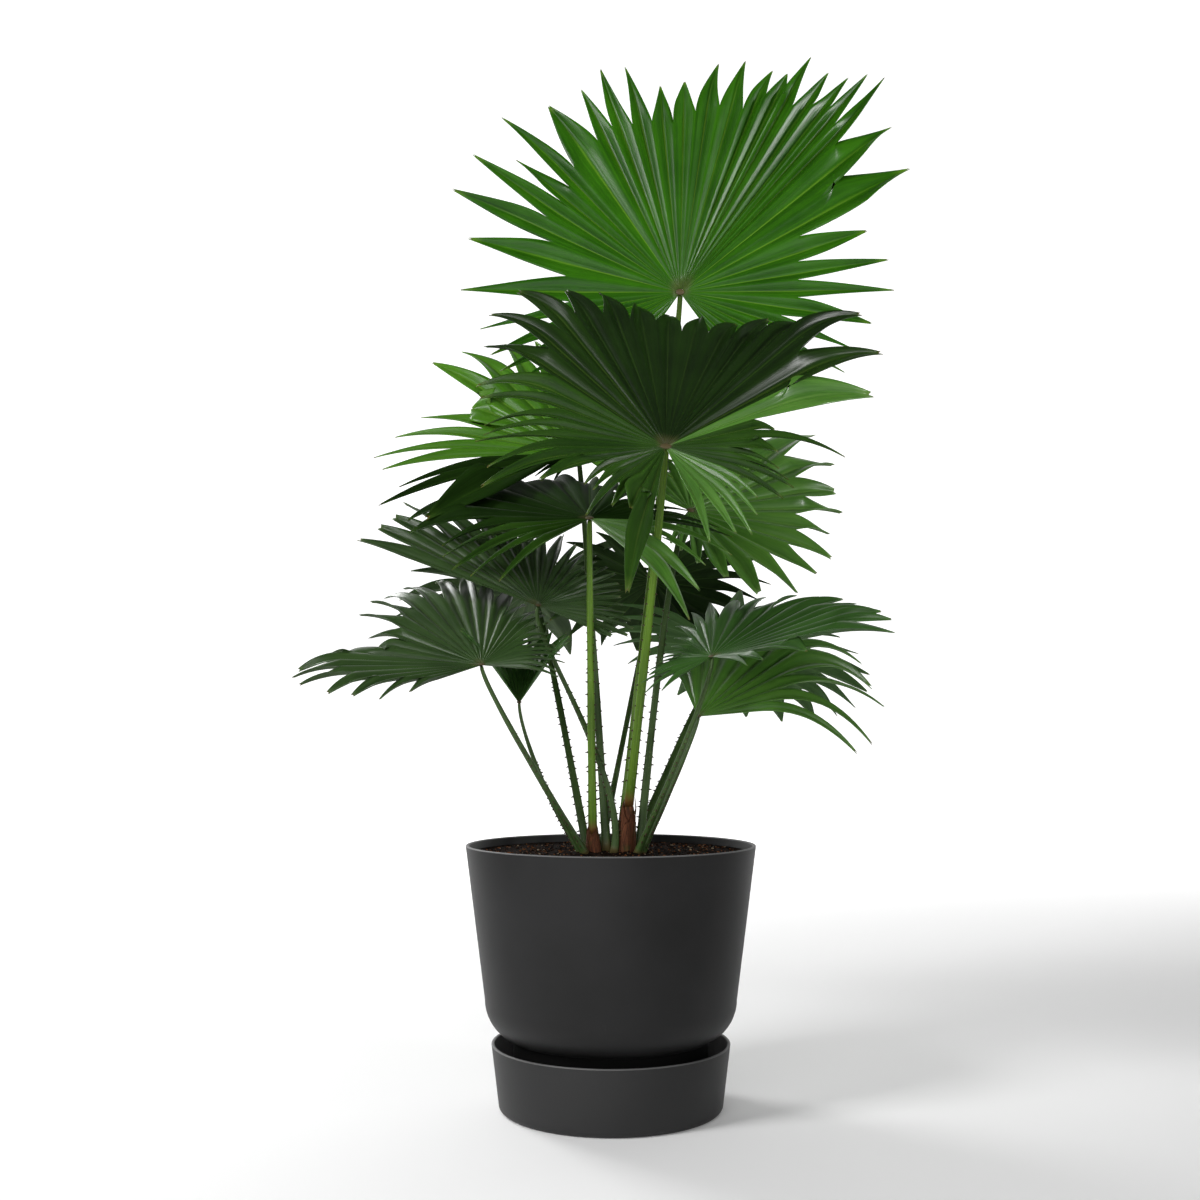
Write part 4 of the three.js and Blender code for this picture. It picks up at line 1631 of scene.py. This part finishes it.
@dataclass
class Stalk:
    """A leaf's grooved, thorny stalk, in millimetres."""

    leaf: Leaf
    sides: int = 16
    rows: int = 40
    foot_swell: float = 0.22
    groove: float = 0.34
    rib_share: float = 0.16
    crest_size: tuple[float, float, float, float] = (1.5, 1.15, 0.42, 1.0)
    crest_lift: float = 0.4
    thorn_foot: float = 0.06
    thorn_top: float = 0.58
    thorn_length: tuple[float, float] = (2.4, 4.6)
    thorn_step: tuple[float, float] = (0.014, 0.034)
    thorn_sag: tuple[float, float] = (-0.15, 0.55)
    thorn_radius: float = 1.1
    thorn_tip: float = 0.12

    def section(self, share: float) -> tuple[Vector, Vector, Vector, float]:
        """Reads the stalk at a share of its length.

        Args:
            share: 0 at the foot and 1 at the top.

        Returns:
            Its middle, its grooved side, its right edge and its radius.
        """
        point, heading = self.leaf.along(share)
        normal = self.leaf.axes()[0]
        groove = normal - heading * normal.dot(heading)
        if groove.length < 1e-3:
            groove = self.leaf.around(math.radians(self.leaf.sinus))
        groove.normalize()
        radius = between(self.leaf.foot_radius, self.leaf.top_radius, share)
        return point, groove, heading.cross(groove), radius

    def build(self) -> None:
        """Makes the stalk, the rib under its blade, the crest on it and the thorns."""
        leaf = self.leaf
        piece = Piece(f"limb_{leaf.name}", "stalk", (f"stalk_{leaf.name}",))
        # Stalks of sunlit leaves get the lighter green as painted light; the others the darker green,
        # partly their own colour and partly painted shade.
        green = piece.use(SUNLIT_STALK if leaf.sunlit else DULL_SHADED_STALK)
        foot_swell = 0.0 if leaf.bearing is None else self.foot_swell

        def skin(angle: float, share: float) -> Vector:
            """Finds a point of the stalk's skin, hollowed along its groove.

            Args:
                angle: The angle from the groove in radians.
                share: 0 at the foot and 1 at the top.

            Returns:
                The place in metres.
            """
            point, groove, edge, radius = self.section(share)
            hollow = 1.0 - self.groove * max(0.0, math.cos(angle)) ** 2
            swell = 1.0 + foot_swell * math.exp(-share * 14.0) + 0.03 * math.sin(23.0 * share + leaf.yaw)
            side = groove * math.cos(angle) * hollow + edge * math.sin(angle)
            return (point + side * radius * swell) * MM

        piece.cap(piece.tube(self.sides, self.rows, skin, green))
        self.add_rib(piece, green)
        self.add_crest(piece)
        self.add_thorns(piece)
        piece.close()

    def add_rib(self, piece: Piece, material: int) -> None:
        """Adds the short rib that runs on under the blade.

        Args:
            piece: The piece to add to.
            material: Its material slot.
        """
        leaf = self.leaf
        normal = leaf.axes()[0]
        course = leaf.around(math.radians(leaf.sinus + 180.0))
        start = Vector(leaf.hub) - normal * (leaf.top_radius * 0.7 + 0.8)
        length = leaf.reach() * self.rib_share
        edge = normal.cross(course)

        def point(angle: float, share: float) -> Vector:
            """Finds a point of the rib's skin.

            Args:
                angle: The angle in radians.
                share: 0 at the hub and 1 at the end.

            Returns:
                The place in metres.
            """
            radius = leaf.top_radius * 0.85 * (1.0 - share) ** 0.8 + 0.15
            middle = start + course * length * share + normal * leaf.top_radius * 0.6 * share
            return (middle + edge * radius * math.cos(angle) + normal * radius * 0.6 * math.sin(angle)) * MM

        piece.tube(8, 10, point, material, lambda along: 0.9 + 0.1 * along)

    def add_crest(self, piece: Piece) -> None:
        """Adds the small crest where the stalk meets the blade's upper side.

        Args:
            piece: The piece to add to.
        """
        leaf = self.leaf
        normal, right, far = leaf.axes()
        turn = Matrix((right, far, normal)).transposed().to_4x4()
        size = Matrix.Diagonal(Vector(self.crest_size))
        spot = Matrix.Translation((Vector(leaf.hub) + normal * self.crest_lift) * MM)
        made = bmesh.ops.create_uvsphere(
            piece.shape,
            u_segments=18,
            v_segments=10,
            radius=leaf.top_radius * 1.15 * MM,
            matrix=spot @ turn @ size,
        )["verts"]
        piece.paint(made, CREST)

    def add_thorns(self, piece: Piece) -> None:
        """Adds the thorns along both edges of the stalk's lower part.

        Args:
            piece: The piece to add to.
        """
        chance = random.Random(f"thorns {self.leaf.name}")
        for hand in (-1, 1):
            share = self.thorn_foot + 0.02 * chance.random()
            while share < self.thorn_top:
                point, groove, edge, radius = self.section(share)
                out = (edge * hand + groove * 0.25 - UP * chance.uniform(*self.thorn_sag)).normalized()
                length = chance.uniform(*self.thorn_length) * between(1.0, 0.5, share / self.thorn_top)
                middle = point + out * (radius * 0.92 + length / 2)
                turn = UP.rotation_difference(out).to_matrix().to_4x4()
                made = bmesh.ops.create_cone(
                    piece.shape,
                    segments=5,
                    radius1=self.thorn_radius * MM,
                    radius2=self.thorn_tip * MM,
                    depth=length * MM,
                    matrix=Matrix.Translation(middle * MM) @ turn,
                )["verts"]
                piece.paint(made, THORN)
                share += chance.uniform(*self.thorn_step)


@dataclass(frozen=True)
class Lamp:
    """A soft square light that faces the plant, in metres, watts and degrees."""

    name: str
    place: tuple[float, float, float]
    size: float
    power: float
    aim: tuple[float, float, float] = (0.0, 0.0, 0.6)
    spread: float = 180.0

    def build(self) -> None:
        """Hangs the light up and turns it to its aim."""
        lamp = bpy.data.lights.new(self.name, "AREA")
        lamp.energy = self.power
        lamp.size = self.size
        lamp.spread = math.radians(self.spread)
        light = show(self.name, lamp)
        light.location = self.place
        line = Vector(self.aim) - Vector(self.place)
        light.rotation_euler = line.to_track_quat("-Z", "Y").to_euler()


LAMPS = (
    Lamp("key_light", (-2.2, -1.6, 2.2), 0.9, 66.0),
    Lamp("fill_light", (-0.5, -2.8, 1.3), 1.8, 26.0),
    Lamp("back_light", (-1.7, 1.7, 1.9), 0.8, 34.0),
    Lamp("gloss_light", (2.2, -1.25, 1.36), 0.26, 2.2, (0.12, 0.05, 0.95), 36.0),
)


@dataclass(frozen=True)
class Studio:
    """The floor, the world and the camera, in metres and degrees."""

    floor_near: float = -5.0
    floor_length: float = 16.0
    floor_width: float = 14.0
    bend_start: float = 3.0
    bend_radius: float = 1.5
    world_light: float = 0.14
    camera_distance: float = 1.427
    camera_height: float = 0.373
    camera_pitch: float = 5.38
    camera_yaw: float = 0.4366
    lens: float = 41.73
    sensor: float = 36.0
    view_depth: float = 60.0

    def build(self) -> None:
        """Sets the studio up."""
        self.add_floor()
        for lamp in LAMPS:
            lamp.build()
        self.add_camera()
        world = bpy.data.worlds.new("studio_world")
        bpy.context.scene.world = world
        world.use_nodes = True
        sky = world.node_tree.nodes["Background"].inputs
        sky["Color"].default_value = (1.0, 1.0, 1.0, 1.0)
        sky["Strength"].default_value = self.world_light
        bpy.context.scene.view_settings.view_transform = "Standard"

    def add_floor(self) -> None:
        """Lays the pale floor, which curves up far behind the plant."""
        shape = bmesh.new()
        made = bmesh.ops.create_grid(shape, x_segments=8, y_segments=80, size=1.0)["verts"]
        for vert in made:
            along = self.floor_near + (vert.co.y + 1.0) / 2.0 * self.floor_length
            bend = max(0.0, along - self.bend_start)
            angle = min(bend / self.bend_radius, math.pi / 2)
            y = min(along, self.bend_start) + self.bend_radius * math.sin(angle)
            rise = self.bend_radius * (1.0 - math.cos(angle))
            z = rise + max(0.0, bend - self.bend_radius * math.pi / 2)
            vert.co = (vert.co.x * self.floor_width / 2.0, y, z)
        mesh = bpy.data.meshes.new("studio_floor")
        shape.to_mesh(mesh)
        shape.free()
        mesh.shade_smooth()
        mesh.materials.append(SHELF.take(FloorFinish()))
        show("studio_floor", mesh)

    def add_camera(self) -> None:
        """Sets the camera where the photograph was taken from."""
        lens = bpy.data.cameras.new("camera")
        lens.lens = self.lens
        lens.sensor_width = self.sensor
        lens.clip_end = self.view_depth
        camera = show("camera", lens)
        camera.location = (0.0, -self.camera_distance, self.camera_height)
        pitch = math.radians(90.0 + self.camera_pitch)
        camera.rotation_euler = (pitch, 0.0, math.radians(self.camera_yaw))
        bpy.context.scene.camera = camera


def main() -> None:
    """Builds the pot, the soil, the stems, the leaves and the studio."""
    logging.basicConfig(level=logging.INFO, format="%(name)s: %(message)s")
    Tray().build()
    pot = Pot()
    pot.build()
    Soil().build(pot)
    for stem in STEMS.values():
        stem.build()
    for leaf in LEAVES:
        Stalk(leaf).build()
        Blade(leaf).build([other for other in LEAVES if other is not leaf])
    Studio().build()


if __name__ == "__main__":
    main()
